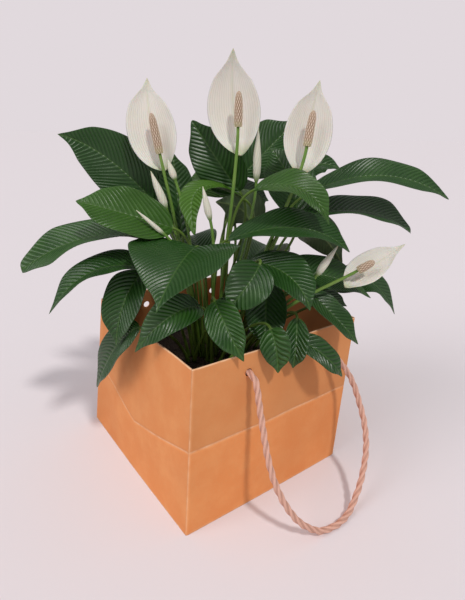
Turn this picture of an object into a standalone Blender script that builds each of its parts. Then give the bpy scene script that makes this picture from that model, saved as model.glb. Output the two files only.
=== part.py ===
"""Potted peace lily in a kraft-paper gift bag with one twisted-rope handle in front.

Metres, +Z up. The origin is the middle of the bag's base. The handle's panel faces -Y.
Plant tables are in centimetres, because a grower would measure the plant that way.
"""

from collections import namedtuple
from math import cos, pi, radians, sin

import bmesh
import bpy
import numpy as np

CM = 0.01
GAP = 0.0003                    # clearance between pieces that touch

# Paper bag: a base rectangle and a slightly shifted rim rectangle.
BAG_HEIGHT = 0.162
BASE_X = (-0.098, 0.096)
BASE_Y = (-0.108, 0.112)
RIM_X = (-0.086, 0.113)
RIM_Y = (-0.102, 0.094)
PAPER = 0.0012                  # wall, with its folded-in turn-over
CREASE_HEIGHT = 0.085           # where the carton-fold crease meets each upright edge
CREASE_DIP = 0.027              # how far the gusset's crease drops at its middle
BULGE = 0.002                   # how far a panel's middle stands out at the crease
HOLE_SPACING = 0.095
HOLE_MIDDLE_X = 0.018
HOLE_HEIGHT = 0.143
HOLE_RADIUS = 0.0037

# Rope handle.
ROPE_DIAMETER = 0.0062
ROPE_STEP = 0.008               # between points of its centreline
KNOT_RADIUS = 0.0075

# Nursery pot and soil.
POT_HEIGHT = 0.122
POT_BASE_RADIUS = 0.052
POT_RIM_RADIUS = 0.072
POT_WALL = 0.0015
POT_LIP = 0.004
SOIL_TOP = 0.113
ROOT_CLEARANCE = 0.001          # a leaning stem's end, cut square, stays clear of the soil

# Plant.
PETIOLE_RADIUS = 0.0016
BLADE_THICKNESS = 0.0007
MIDRIB_THICKNESS = 0.0012
STALK_RADIUS = 0.0018
SPADIX_RADIUS = 0.0042
BUD_RADIUS = 0.0042

# base, middle and tip: points of the midrib. peak: where along the blade it is widest.
# facing: azimuth and elevation, in degrees, of the way that the upper side looks at the middle.
# twist: degrees turned from base to tip.
Leaf = namedtuple("Leaf", "name base middle tip width peak facing twist")
LEAVES = [
    Leaf("leaf_left_top", (-3, 3.5, 25.5), (-7.5, 5.8, 31), (-12, 7.5, 33.5), 5.2, 0.36, (-127, 25), 0),
    Leaf("leaf_behind_left_flower", (-2.5, 1.5, 24), (-2.3, 2.8, 28.5), (-2, 4, 32), 3.3, 0.4, (-127, 25), 0),
    Leaf("leaf_left_glossy", (-4.4, 0, 25.4), (-8.9, 1.5, 27), (-12.2, 3.5, 28), 4.4, 0.4, (-127, 45), 0),
    Leaf("leaf_left_back", (-2, 6.5, 24.5), (-4, 10.5, 26.5), (-5.5, 14, 27.5), 4, 0.4, (-127, 45), 0),
    Leaf("leaf_left_twisted", (-5, 0, 23.5), (-10.5, 4, 24.5), (-16.5, 8.5, 21), 4.5, 0.6, (-127, 75), -70),
    Leaf("leaf_left_arching", (-6.5, -0.5, 21.5), (-11.5, 1.5, 22), (-16, 2, 18.5), 4, 0.4, (-127, 80), 0),
    Leaf("leaf_front_large", (-3.5, -2.7, 24), (-7.1, -5.3, 23), (-10.2, -7.3, 20.4), 9, 0.28, (-145, 55), 0),
    Leaf("leaf_left_corner", (-7.5, 0.5, 21.5), (-10, -0.5, 19), (-11, -0.5, 15), 3.8, 0.4, (-150, 25), 0),
    Leaf("leaf_over_left_edge", (-9.2, -2, 17), (-10.6, 0.6, 14.4), (-11.4, 5, 8), 3, 0.5, (-150, 40), 0),
    Leaf("leaf_left_low", (-4.5, -5, 19), (-8, -5.5, 19), (-10.5, -3.5, 15.5), 3, 0.4, (-127, 45), 0),
    Leaf("leaf_front_hanging", (-4.3, -7, 20.2), (-4.8, -9.5, 18.7), (-4.2, -11.2, 16.1), 2.8, 0.4,
         (-150, 35), 0),
    Leaf("leaf_centre_front", (-0.7, -8.5, 23.3), (-2.4, -9, 21.8), (-4.2, -8.4, 19.6), 3.5, 0.4,
         (-110, 35), 0),
    Leaf("leaf_centre_right", (0.8, -5.1, 22.6), (1.9, -9.5, 22.1), (2.6, -11.8, 19.4), 3.9, 0.4,
         (-110, 50), 0),
    Leaf("leaf_front_dark", (3, -5.4, 20.5), (1.3, -7.4, 17.8), (0.3, -8.6, 15.3), 3.5, 0.45, (-127, 25), 0),
    Leaf("leaf_over_front_edge", (-0.5, -10.2, 17.8), (-0.8, -11.4, 16.4), (-0.8, -11.8, 14.2), 2.4, 0.4,
         (-140, 25), 0),
    Leaf("leaf_over_front_narrow", (2.9, -10, 18), (1.7, -11.3, 15.9), (1.2, -11.6, 14), 2, 0.4,
         (-127, 20), 0),
    Leaf("leaf_over_right_edge", (2, -10.5, 16.5), (4, -12.5, 15), (6, -13.5, 12.5), 2.2, 0.45,
         (-127, 55), 0),
    Leaf("leaf_right_corner", (6.4, -7.4, 19.4), (7, -11, 17.5), (8.5, -13, 15), 3, 0.4, (-90, 60), 0),
    Leaf("leaf_right_thin", (9.5, -5.5, 18.5), (11, -7, 17.5), (12.5, -8, 16.5), 2, 0.4, (-110, 60), 0),
    Leaf("leaf_right_broad", (-0.5, -3.5, 24.5), (3.8, -8.3, 26), (7.5, -11.5, 24), 4.4, 0.45, (-120, 70), 0),
    Leaf("leaf_right_underside", (8.5, -4, 25), (12, -4, 23.5), (14, -5.5, 20.5), 3.5, 0.4, (50, 10), 0),
    Leaf("leaf_right_low", (6, -4.5, 19), (10, -6.5, 20), (14.5, -9.5, 17.5), 4.5, 0.4, (-120, 60), 0),
    Leaf("leaf_right_lowest", (13, -6, 17.5), (16.5, -7.5, 18.5), (19.5, -9.5, 14.5), 4, 0.45, (-110, 60), 0),
    Leaf("leaf_right_twisted", (6.3, -6, 26.4), (12, -9, 27), (16, -12, 25), 4.4, 0.58, (-127, 72), 14),
    Leaf("leaf_right_top", (7.5, -5.5, 28.5), (12, -10.5, 30.5), (17.5, -14.5, 28.5), 4, 0.45,
         (-127, 65), 20),
    Leaf("leaf_right_small", (10, -2.5, 29.5), (12, -2.5, 31), (14, -4, 30.5), 3, 0.4, (-127, 55), 0),
    Leaf("leaf_centre_arching", (2, -4, 29), (4, -8, 29.5), (5.5, -10.5, 26.5), 3.5, 0.4, (-100, 50), 0),
    Leaf("leaf_back_top", (5.9, 2.7, 29.8), (8.3, 1.6, 32.4), (11.2, 0.6, 35.3), 5, 0.45, (-140, 20), 0),
    Leaf("leaf_back_ribbed", (7.5, -4.5, 26), (7.5, -3, 29.5), (7, -0.5, 32.5), 4.5, 0.5, (-127, 25), 0),
    Leaf("leaf_centre_top", (3.2, -0.3, 28.4), (1, 0.6, 31.5), (-1, 2, 35), 4.2, 0.45, (-150, 20), 0),
    Leaf("leaf_back_left", (3.9, 3, 27.5), (2.9, 5.3, 29), (1.8, 7.6, 28.5), 4.5, 0.4, (-127, 50), 0),
    Leaf("leaf_centre_curled", (3, -1.3, 27.8), (-1.6, -0.3, 28.9), (-3.3, -2.1, 25), 2.5, 0.5,
         (-150, 70), 0),
    Leaf("leaf_centre_pale", (4.5, -0.5, 25), (4, 0.5, 26.5), (2.5, 3, 27), 4, 0.4, (53, 0), 0),
    Leaf("leaf_centre_inner", (5.1, 2.5, 26.8), (7.3, 2.7, 27.3), (9.3, 2.2, 26.8), 4, 0.4, (-127, 45), 0),
    Leaf("leaf_rear_left", (2, 5.5, 20), (3.5, 9.5, 22), (5.5, 13.5, 18.5), 5, 0.4, (75, 60), 0),
    Leaf("leaf_rear_right", (6, 2, 19), (10.5, 3.5, 21), (15, 5.5, 17.5), 5, 0.4, (20, 60), 0),
]

# stipe: where the spadix starts. spadix: its top. base, middle, tip, width, facing: the spathe.
Flower = namedtuple("Flower", "name stipe spadix base middle tip width facing")
FLOWERS = [
    Flower("flower_left", (-4.5, 2, 32), (-5, 2.5, 35.5), (-4, 2, 30.5),
           (-4.5, 3.5, 34.5), (-4.5, 4, 38.5), 4.8, (-127, 10)),
    Flower("flower_middle", (1.5, -2, 34.5), (1.5, -2, 37.5), (2, -2, 32),
           (2, -0.5, 36.5), (1.5, -1, 41), 5.2, (-127, 5)),
    Flower("flower_right", (5.5, -7, 33), (6, -7, 36), (5.5, -6.5, 30.5),
           (6.5, -6, 34.5), (7, -6.5, 38.5), 4.6, (-127, 10)),
    Flower("flower_low", (9, -11.5, 22), (10, -12.5, 23), (8, -11, 20.5),
           (11, -11.5, 22), (13, -13.5, 24.5), 3.4, (-150, 40)),
]

# base: where the furled spathe starts on its stalk. tip: its point. girth: against BUD_RADIUS.
Bud = namedtuple("Bud", "name base tip girth")
BUDS = [
    Bud("bud_left_low", (-4.5, 1, 27), (-5.5, 2, 30.5), 1),
    Bud("bud_left_high", (-3.6, 0.8, 29.7), (-4.1, 1.3, 31.6), 0.8),
    Bud("bud_left_slender", (-5.8, -0.9, 25.1), (-7.9, 0.4, 27.3), 0.5),
    Bud("bud_centre", (-2.5, -3.5, 26.5), (-3, -3, 29.5), 0.8),
    Bud("bud_middle_high", (3.5, -2.5, 29.5), (3.5, -2.5, 34.5), 1),
    Bud("bud_right_low", (5.5, -9.5, 21.5), (7, -10.5, 24.5), 0.9),
]

# Degrees that a stem's root is turned about the crown, so that no two stems share a place.
ROOT_TURNS = {
    "leaf_left_glossy": 30, "leaf_behind_left_flower": -20, "leaf_front_large": 10, "leaf_centre_top": 50,
    "leaf_centre_front": -65, "leaf_centre_inner": 35, "leaf_centre_curled": 5, "leaf_back_top": 5,
    "leaf_back_left": -70, "leaf_back_ribbed": 45, "leaf_over_front_edge": -20, "leaf_over_right_edge": 20,
    "leaf_right_corner": 15, "leaf_right_top": 20, "leaf_right_low": 20, "leaf_right_small": 5,
    "leaf_right_underside": -15, "flower_middle": -40, "flower_right": 40, "flower_low": -55,
    "bud_left_slender": 10, "bud_left_high": -20, "bud_left_low": -5,
}

PETIOLE_STATIONS = 6
BLADE_STATIONS = 10

# The handle's centreline, from the left hole to the right one: out, down to the floor, and back up.
ROPE_ROUTE = [
    (-29.5, -101.2, 143), (-29.5, -104.5, 143), (-29.6, -109.4, 142), (-29.9, -113.7, 139.2),
    (-30.3, -116.6, 135), (-31, -120, 126), (-32, -127, 107), (-35, -143, 74), (-32, -156, 48),
    (-21, -168, 24), (-4, -176, 8.5), (10, -178.5, 3.8), (24, -179.5, 3.2), (38, -177.5, 4.2),
    (50, -174, 9.5), (66, -168, 24), (82, -158, 44), (89, -147, 67), (89, -133, 95), (85.5, -126.5, 110),
    (79.8, -122.3, 121), (73.5, -119, 130), (69.4, -116, 135.6), (67.2, -112.9, 139.5),
    (66, -108.9, 142), (65.5, -104.5, 143), (65.5, -101.2, 143),
]                               # millimetres


def unit(v):
    """Vectors scaled to length one, row by row."""
    v = np.asarray(v, float)
    return v / np.linalg.norm(v, axis=-1, keepdims=True)


def across(v, tangent):
    """The part of v at right angles to each tangent, at length one."""
    return unit(v - (v * tangent).sum(-1, keepdims=True) * tangent)


def direction(azimuth, elevation):
    """Unit vector for an azimuth from +X towards +Y and an elevation, both in degrees."""
    a, e = radians(azimuth), radians(elevation)
    return np.array([cos(e) * cos(a), cos(e) * sin(a), sin(e)])


def midrib(base, middle, tip, s):
    """Quadratic curve through three points, and its unit tangents. s is 0 to 1, one row each."""
    a, m, b = (np.array(p, float) for p in (base, middle, tip))
    c = 2 * m - (a + b) / 2
    s = s[:, None]
    points = (1 - s) ** 2 * a + 2 * s * (1 - s) * c + s * s * b
    tangents = unit((1 - s) * (c - a) + s * (b - c))
    return points, tangents


def stem(root, end, end_tangent, s):
    """Cubic curve that leaves the soil upwards and reaches its end along end_tangent."""
    root, end = np.array(root, float), np.array(end, float)
    reach = np.linalg.norm(end - root)
    lean = unit(end - root) + np.array([0, 0, 1.5])
    p1 = root + unit(lean) * reach * 0.4
    p2 = end - np.asarray(end_tangent) * reach * 0.22
    s = s[:, None]
    points = (1 - s) ** 3 * root + 3 * s * (1 - s) ** 2 * p1 + 3 * s * s * (1 - s) * p2 + s ** 3 * end
    slopes = (1 - s) ** 2 * (p1 - root) + 2 * s * (1 - s) * (p2 - p1) + s * s * (end - p2)
    return points, unit(slopes)


def carried(normal, tangents, at):
    """normal at station `at`, carried along a flat curve without turning about the tangent."""
    bend = np.cross(tangents[0], tangents[-1])
    if np.linalg.norm(bend) < 1e-3:
        return np.repeat(across(normal, tangents[at])[None], len(tangents), 0)
    bend = unit(bend)
    inward = np.cross(bend[None], tangents)
    here = across(normal, tangents[at])
    return (here @ bend) * bend[None] + (here @ inward[at]) * inward


def turned(normals, tangents, angles):
    """normals turned about their tangents by angles in radians."""
    return normals * np.cos(angles)[:, None] + np.cross(tangents, normals) * np.sin(angles)[:, None]


def leaf_outline(s, peak=0.38):
    """Half-width of a pointed oval along its length, with 1 at its widest."""
    p = 0.75
    q = p * (1 - peak) / peak
    shape = np.power(s, p) * np.power(np.clip(1 - s, 0, 1), q)
    return shape / (peak ** p * (1 - peak) ** q)


RING_U = np.array([-1, -0.5, 0, 0.5, 1, 0.5, 0, -0.5])
RING_V = np.array([0, 1, 1, 1, 0, -1, -1, -1])
RING_ROUND = np.sqrt(1 - RING_U ** 2)


def leaf_rings(points, tangents, normals, half_width, radius, fold, cup):
    """Eight-point rings: round where half_width is small, flat and folded where it is wide."""
    sides = np.cross(tangents, normals)
    flat = np.clip(half_width / 0.006, 0, 1)[:, None]
    width = np.sqrt(half_width ** 2 + radius ** 2)[:, None]
    ridge = MIDRIB_THICKNESS / BLADE_THICKNESS
    sheet = np.array([0, 1, ridge, 1, 0, 1, ridge, 1])
    half_thick = (1 - flat) * radius[:, None] * RING_ROUND + flat * sheet * BLADE_THICKNESS / 2
    lift = flat * width * (fold * np.abs(RING_U) + cup * RING_U ** 2)
    across_ = width * RING_U * np.sqrt(1 - (flat * (0.5 * fold)) ** 2)
    up = lift + RING_V * half_thick
    return points[:, None] + across_[..., None] * sides[:, None] + up[..., None] * normals[:, None]


def round_rings(points, tangents, radius, sides_count=8):
    """Round rings along a path."""
    start = across(np.array([0.3, 0.9, 0.1]), tangents)
    other = np.cross(tangents, start)
    angle = np.arange(sides_count) * 2 * pi / sides_count
    offset = np.cos(angle)[:, None] * start[:, None] + np.sin(angle)[:, None] * other[:, None]
    return points[:, None] + radius[:, None, None] * offset


def loft(rings, tip=None):
    """Mesh data of rings joined in order: a flat first end, and a point or a flat last end."""
    count, around = rings.shape[:2]
    verts = [tuple(p) for ring in rings for p in ring]
    faces = [tuple(range(around - 1, -1, -1))]
    for i in range(count - 1):
        a, b = i * around, (i + 1) * around
        for k in range(around):
            n = (k + 1) % around
            faces.append((a + k, a + n, b + n, b + k))
    last = (count - 1) * around
    if tip is None:
        faces.append(tuple(range(last, last + around)))
    else:
        verts.append(tuple(tip))
        for k in range(around):
            faces.append((last + k, last + (k + 1) % around, len(verts) - 1))
    return verts, faces


def leaf_shape(leaf, root, radius=PETIOLE_RADIUS, fold=0.22, cup=0.05):
    """A leaf from its root in the soil to its tip: petiole and blade in one."""
    blade_s = np.linspace(0, 1, BLADE_STATIONS + 1)[:-1]
    blade_s[1] *= 0.6
    base, middle, tip = (np.array(p) * CM for p in (leaf.base, leaf.middle, leaf.tip))
    blade, blade_t = midrib(base, middle, tip, blade_s)
    stalk_s = np.linspace(0, 1, PETIOLE_STATIONS)[:-1]
    stalk, stalk_t = stem(root, base, blade_t[0], stalk_s)
    normal = direction(*leaf.facing)
    at = BLADE_STATIONS // 2
    normals = carried(normal, blade_t, at)
    twist = radians(leaf.twist) * (blade_s - 0.5)
    normals = turned(normals, blade_t, twist)
    stalk_n = across(normals[0], stalk_t)
    half = leaf.width * CM / 2 * leaf_outline(blade_s, leaf.peak)
    width = np.concatenate([np.zeros(len(stalk_s)), half])
    thick = radius * np.concatenate([np.linspace(1, 0.8, len(stalk_s)), 0.8 - 0.6 * blade_s])
    rings = leaf_rings(np.concatenate([stalk, blade]), np.concatenate([stalk_t, blade_t]),
                       np.concatenate([stalk_n, normals]), width, thick, fold, cup)
    return loft(rings, tip)


def root_of(name, base, spread=0.36, closest=0.8, furthest=5.0):
    """Where a stem leaves the soil: in line with its end, nearer the middle."""
    x, y = base[0], base[1]
    reach = max(np.hypot(x, y), 0.01)
    r = min(max(reach * spread, closest), furthest)
    a = np.arctan2(y, x) + radians(ROOT_TURNS.get(name, 0))
    return np.array([r * CM * np.cos(a), r * CM * np.sin(a), SOIL_TOP + ROOT_CLEARANCE])


def flower_shapes(flower):
    """Stalk, spathe and spadix of one flower, each as its own shape."""
    stipe, top = (np.array(p) * CM for p in (flower.stipe, flower.spadix))
    axis = unit(top - stipe)
    s = np.linspace(0, 1, 10)
    points, tangents = stem(root_of(flower.name, flower.base), stipe, axis, s)
    stalk = loft(round_rings(points, tangents, STALK_RADIUS * (1.1 - 0.3 * s), 6))

    base, middle, tip = (np.array(p) * CM for p in (flower.base, flower.middle, flower.tip))
    facing = direction(*flower.facing)
    blade_s = np.linspace(0, 1, BLADE_STATIONS + 1)[:-1]
    # The spathe springs from the back of the stalk.
    base = base - facing * (STALK_RADIUS * 1.3 + GAP)
    blade, blade_t = midrib(base, middle, tip, blade_s)
    normals = carried(facing, blade_t, BLADE_STATIONS // 2)
    half = flower.width * CM / 2 * leaf_outline(blade_s, 0.42)
    thick = 0.001 * (1 - 0.7 * blade_s)
    spathe = loft(leaf_rings(blade, blade_t, normals, half, thick, 0.1, 0.3), tip)

    t = np.array([0, 0.08, 0.3, 0.6, 0.85, 0.96])
    girth = SPADIX_RADIUS * np.array([0.75, 0.95, 1, 0.95, 0.8, 0.5])
    start = stipe + axis * GAP
    spadix_points = start + t[:, None] * (top - start)
    spadix = loft(round_rings(spadix_points, np.repeat(axis[None], len(t), 0), girth, 8), top)
    return stalk, spathe, spadix


def bud_shape(bud):
    """A stalk that ends in a furled spathe, grown as one piece."""
    base, tip = (np.array(p) * CM for p in (bud.base, bud.tip))
    axis = unit(tip - base)
    s = np.linspace(0, 1, 8)[:-1]
    points, tangents = stem(root_of(bud.name, bud.base, 0.3), base, axis, s)
    t = np.array([0, 0.12, 0.3, 0.5, 0.7, 0.88])
    girth = BUD_RADIUS * bud.girth * np.array([0.32, 0.62, 1, 0.95, 0.6, 0.25])
    furled = base + t[:, None] * (tip - base)
    all_points = np.concatenate([points, furled])
    all_tangents = np.concatenate([tangents, np.repeat(axis[None], len(t), 0)])
    radii = np.concatenate([np.full(len(s), STALK_RADIUS * 0.75), np.maximum(girth, 0.0009)])
    return loft(round_rings(all_points, all_tangents, radii, 8), tip)


def plant_shapes():
    """Every leaf, flower piece and bud, as name to mesh data and material."""
    shapes = {}
    for leaf in LEAVES:
        shapes[leaf.name] = leaf_shape(leaf, root_of(leaf.name, leaf.base)), "leaf"
    for flower in FLOWERS:
        stalk, spathe, spadix = flower_shapes(flower)
        shapes[flower.name + "_stalk"] = stalk, "stalk"
        shapes[flower.name + "_spathe"] = spathe, "spathe"
        shapes[flower.name + "_spadix"] = spadix, "spadix"
    for bud in BUDS:
        shapes[bud.name] = bud_shape(bud), "spathe"
    return shapes


def bag_ring(height, gusset_height, inset, bulge):
    """Eight points around the bag: its corners and the middles of its panels."""
    share = height / BAG_HEIGHT
    x0, x1 = (b + (r - b) * share for b, r in zip(BASE_X, RIM_X))
    y0, y1 = (b + (r - b) * share for b, r in zip(BASE_Y, RIM_Y))
    x0, x1, y0, y1 = x0 + inset, x1 - inset, y0 + inset, y1 - inset
    middle_x, middle_y = (x0 + x1) / 2, (y0 + y1) / 2
    slope0 = (RIM_X[0] - BASE_X[0]) / BAG_HEIGHT
    slope1 = (RIM_X[1] - BASE_X[1]) / BAG_HEIGHT
    drop = gusset_height - height
    return [
        (x0, y0, height), (middle_x, y0 - bulge, height),
        (x1, y0, height), (x1 + slope1 * drop + bulge, middle_y, gusset_height),
        (x1, y1, height), (middle_x, y1 + bulge, height),
        (x0, y1, height), (x0 + slope0 * drop - bulge, middle_y, gusset_height),
    ]


def bag_shape():
    """An open-topped bag: outer skin up, turn-over at the rim, inner skin down to the floor."""
    creased = CREASE_HEIGHT - CREASE_DIP
    return loft(np.array([
        bag_ring(0, 0, 0, BULGE / 4),
        bag_ring(CREASE_HEIGHT, creased, 0, BULGE),
        bag_ring(BAG_HEIGHT, BAG_HEIGHT, 0, BULGE / 2),
        bag_ring(BAG_HEIGHT, BAG_HEIGHT, PAPER, BULGE / 2),
        bag_ring(CREASE_HEIGHT, creased, PAPER, BULGE),
        bag_ring(PAPER, PAPER, PAPER, BULGE / 4),
    ]))


def turned_shape(profile, segments=32):
    """A body turned about Z from (radius, height) points: up its outside, then down its inside."""
    angle = np.arange(segments) * 2 * pi / segments
    rings = [np.stack([r * np.cos(angle), r * np.sin(angle), np.full(segments, z)], 1) for r, z in profile]
    return loft(np.array(rings))


def pot_shape():
    """Nursery pot: a tapered cup with a rim that stands out."""
    floor = PAPER + GAP
    neck = POT_RIM_RADIUS - POT_LIP
    return turned_shape([
        (POT_BASE_RADIUS, floor), (neck, POT_HEIGHT - 2 * POT_LIP), (POT_RIM_RADIUS, POT_HEIGHT - POT_LIP),
        (POT_RIM_RADIUS, POT_HEIGHT), (neck - POT_WALL, POT_HEIGHT),
        (POT_BASE_RADIUS - POT_WALL, floor + POT_WALL),
    ])


def soil_shape():
    """The root ball, just clear of the pot's inside."""
    floor = PAPER + GAP + POT_WALL
    bottom, top = POT_BASE_RADIUS - POT_WALL, POT_RIM_RADIUS - POT_LIP - POT_WALL
    filled = (SOIL_TOP - floor) / (POT_HEIGHT - floor)
    surface = bottom + (top - bottom) * filled
    return turned_shape([(bottom - 2 * GAP, floor + GAP), (surface - 2 * GAP, SOIL_TOP)])


def smooth_curve(route, spacing):
    """Points about `spacing` apart on a smooth curve through the route's own points."""
    route = np.array(route, float)
    ends = np.vstack([2 * route[0] - route[1], route, 2 * route[-1] - route[-2]])
    fine = []
    t = np.linspace(0, 1, 24, endpoint=False)[:, None]
    for a, b, c, d in zip(ends, ends[1:], ends[2:], ends[3:]):
        fine.append(0.5 * (2 * b + (c - a) * t + (2 * a - 5 * b + 4 * c - d) * t ** 2
                           + (3 * b - a - 3 * c + d) * t ** 3))
    fine = np.vstack(fine + [route[-1:]])
    along = np.concatenate([[0], np.cumsum(np.linalg.norm(np.diff(fine, axis=0), axis=1))])
    stations = np.linspace(0, along[-1], int(round(along[-1] / spacing)) + 1)
    return np.stack([np.interp(stations, along, fine[:, i]) for i in range(3)], 1)


def rope_points():
    """The handle's centreline, resting on the floor where it is lowest."""
    points = smooth_curve(np.array(ROPE_ROUTE) * 0.001, ROPE_STEP)
    points[:, 2] = np.maximum(points[:, 2], ROPE_DIAMETER / 2)
    return points


def principled(name, colour, roughness, metallic=0.0):
    """A plain material."""
    material = bpy.data.materials.new(name)
    material.use_nodes = True
    shader = material.node_tree.nodes["Principled BSDF"]
    shader.inputs["Base Color"].default_value = (*colour, 1)
    shader.inputs["Roughness"].default_value = roughness
    shader.inputs["Metallic"].default_value = metallic
    return material


def add_piece(name, shape, material, sharp_angle=40):
    """A mesh object of its own, shaded smooth up to sharp_angle in degrees."""
    mesh = bpy.data.meshes.new(name)
    mesh.from_pydata(*(shape[0], [], shape[1]))
    mesh.materials.append(material)
    mesh.shade_smooth()
    mesh.set_sharp_from_angle(angle=radians(sharp_angle))
    piece = bpy.data.objects.new(name, mesh)
    bpy.context.collection.objects.link(piece)
    return piece


def add_hole_cutter(name, x):
    """A round bar through the front and the back panel."""
    mesh = bpy.data.meshes.new(name)
    bm = bmesh.new()
    bmesh.ops.create_cone(bm, cap_ends=True, segments=20, radius1=HOLE_RADIUS, radius2=HOLE_RADIUS, depth=0.3)
    bm.to_mesh(mesh)
    bm.free()
    cutter = bpy.data.objects.new(name, mesh)
    cutter.location = (x, 0, HOLE_HEIGHT)
    cutter.rotation_euler = (pi / 2, 0, 0)
    cutter.hide_render = True
    cutter.display_type = "WIRE"
    bpy.context.collection.objects.link(cutter)
    return cutter


def add_rope(name, points, material):
    """The handle: one round rope with filled ends."""
    curve = bpy.data.curves.new(name, "CURVE")
    curve.dimensions = "3D"
    curve.bevel_depth = ROPE_DIAMETER / 2
    curve.bevel_resolution = 2
    curve.use_fill_caps = True
    spline = curve.splines.new("POLY")
    spline.points.add(len(points) - 1)
    for target, point in zip(spline.points, points):
        target.co = (*point, 1)
    curve.materials.append(material)
    rope = bpy.data.objects.new(name, curve)
    bpy.context.collection.objects.link(rope)
    return rope


def add_knot(name, x, material):
    """The stopper knot behind a hole of the front panel."""
    mesh = bpy.data.meshes.new(name)
    bm = bmesh.new()
    bmesh.ops.create_uvsphere(bm, u_segments=12, v_segments=8, radius=KNOT_RADIUS)
    bm.to_mesh(mesh)
    bm.free()
    mesh.materials.append(material)
    mesh.shade_smooth()
    knot = bpy.data.objects.new(name, mesh)
    knot.location = (x, ROPE_ROUTE[0][1] * 0.001 + GAP + KNOT_RADIUS, HOLE_HEIGHT)
    bpy.context.collection.objects.link(knot)
    return knot


def main():
    for old in list(bpy.data.objects):
        bpy.data.objects.remove(old, do_unlink=True)

    materials = {
        "leaf": principled("leaf", (0.035, 0.12, 0.025), 0.3),
        "stalk": principled("stalk", (0.3, 0.42, 0.12), 0.45),
        "spathe": principled("spathe", (0.82, 0.83, 0.76), 0.45),
        "spadix": principled("spadix", (0.72, 0.55, 0.36), 0.7),
        "kraft": principled("kraft", (0.62, 0.3, 0.13), 0.75),
        "rope": principled("rope", (0.68, 0.45, 0.36), 0.85),
        "pot": principled("pot", (0.03, 0.03, 0.03), 0.5),
        "soil": principled("soil", (0.05, 0.03, 0.02), 0.95),
    }

    for name, (shape, kind) in plant_shapes().items():
        add_piece(name, shape, materials[kind])

    bag = add_piece("paper_bag", bag_shape(), materials["kraft"], 20)
    hole_places = [HOLE_MIDDLE_X - HOLE_SPACING / 2, HOLE_MIDDLE_X + HOLE_SPACING / 2]
    for side, x in zip(("left", "right"), hole_places):
        cut = bag.modifiers.new(f"hole_{side}", "BOOLEAN")
        cut.operation = "DIFFERENCE"
        cut.solver = "EXACT"
        cut.object = add_hole_cutter(f"hole_cutter_{side}", x)
        add_knot(f"knot_{side}", x, materials["rope"])

    add_rope("rope_handle", rope_points(), materials["rope"])
    add_piece("nursery_pot", pot_shape(), materials["pot"])
    add_piece("soil", soil_shape(), materials["soil"])


if __name__ == "__main__":
    main()
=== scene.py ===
"""Potted peace lily in a kraft-paper gift bag: the fine surfaces, finishes, lights and camera."""

from collections import namedtuple
from math import cos, pi, radians, sin, tau

import bmesh
import bpy
import numpy as np
from bpy.props import FloatProperty, FloatVectorProperty, IntProperty, PointerProperty
from mathutils import Matrix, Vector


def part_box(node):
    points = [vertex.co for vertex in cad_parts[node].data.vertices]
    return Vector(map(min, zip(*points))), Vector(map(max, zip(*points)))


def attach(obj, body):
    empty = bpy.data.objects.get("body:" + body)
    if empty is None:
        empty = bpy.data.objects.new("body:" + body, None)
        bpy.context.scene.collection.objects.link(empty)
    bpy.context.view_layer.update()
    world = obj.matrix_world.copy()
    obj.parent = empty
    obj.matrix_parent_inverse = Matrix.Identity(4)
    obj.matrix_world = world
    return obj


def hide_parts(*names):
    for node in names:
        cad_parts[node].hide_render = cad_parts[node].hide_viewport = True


bl_info = {
    "name": "Potted Peace Lily",
    "version": (1, 0, 0),
    "blender": (4, 5, 0),
    "location": "View3D > Sidebar > Peace Lily",
    "description": "Builds a peace lily in a pot inside a paper gift bag",
    "category": "Add Mesh",
}

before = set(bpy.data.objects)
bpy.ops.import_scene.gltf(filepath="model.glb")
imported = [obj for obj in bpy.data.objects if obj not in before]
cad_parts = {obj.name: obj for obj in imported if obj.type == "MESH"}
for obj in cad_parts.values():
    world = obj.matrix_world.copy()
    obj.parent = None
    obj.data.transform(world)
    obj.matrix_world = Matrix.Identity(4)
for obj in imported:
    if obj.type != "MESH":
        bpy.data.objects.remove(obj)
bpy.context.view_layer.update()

CM = 0.01

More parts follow.
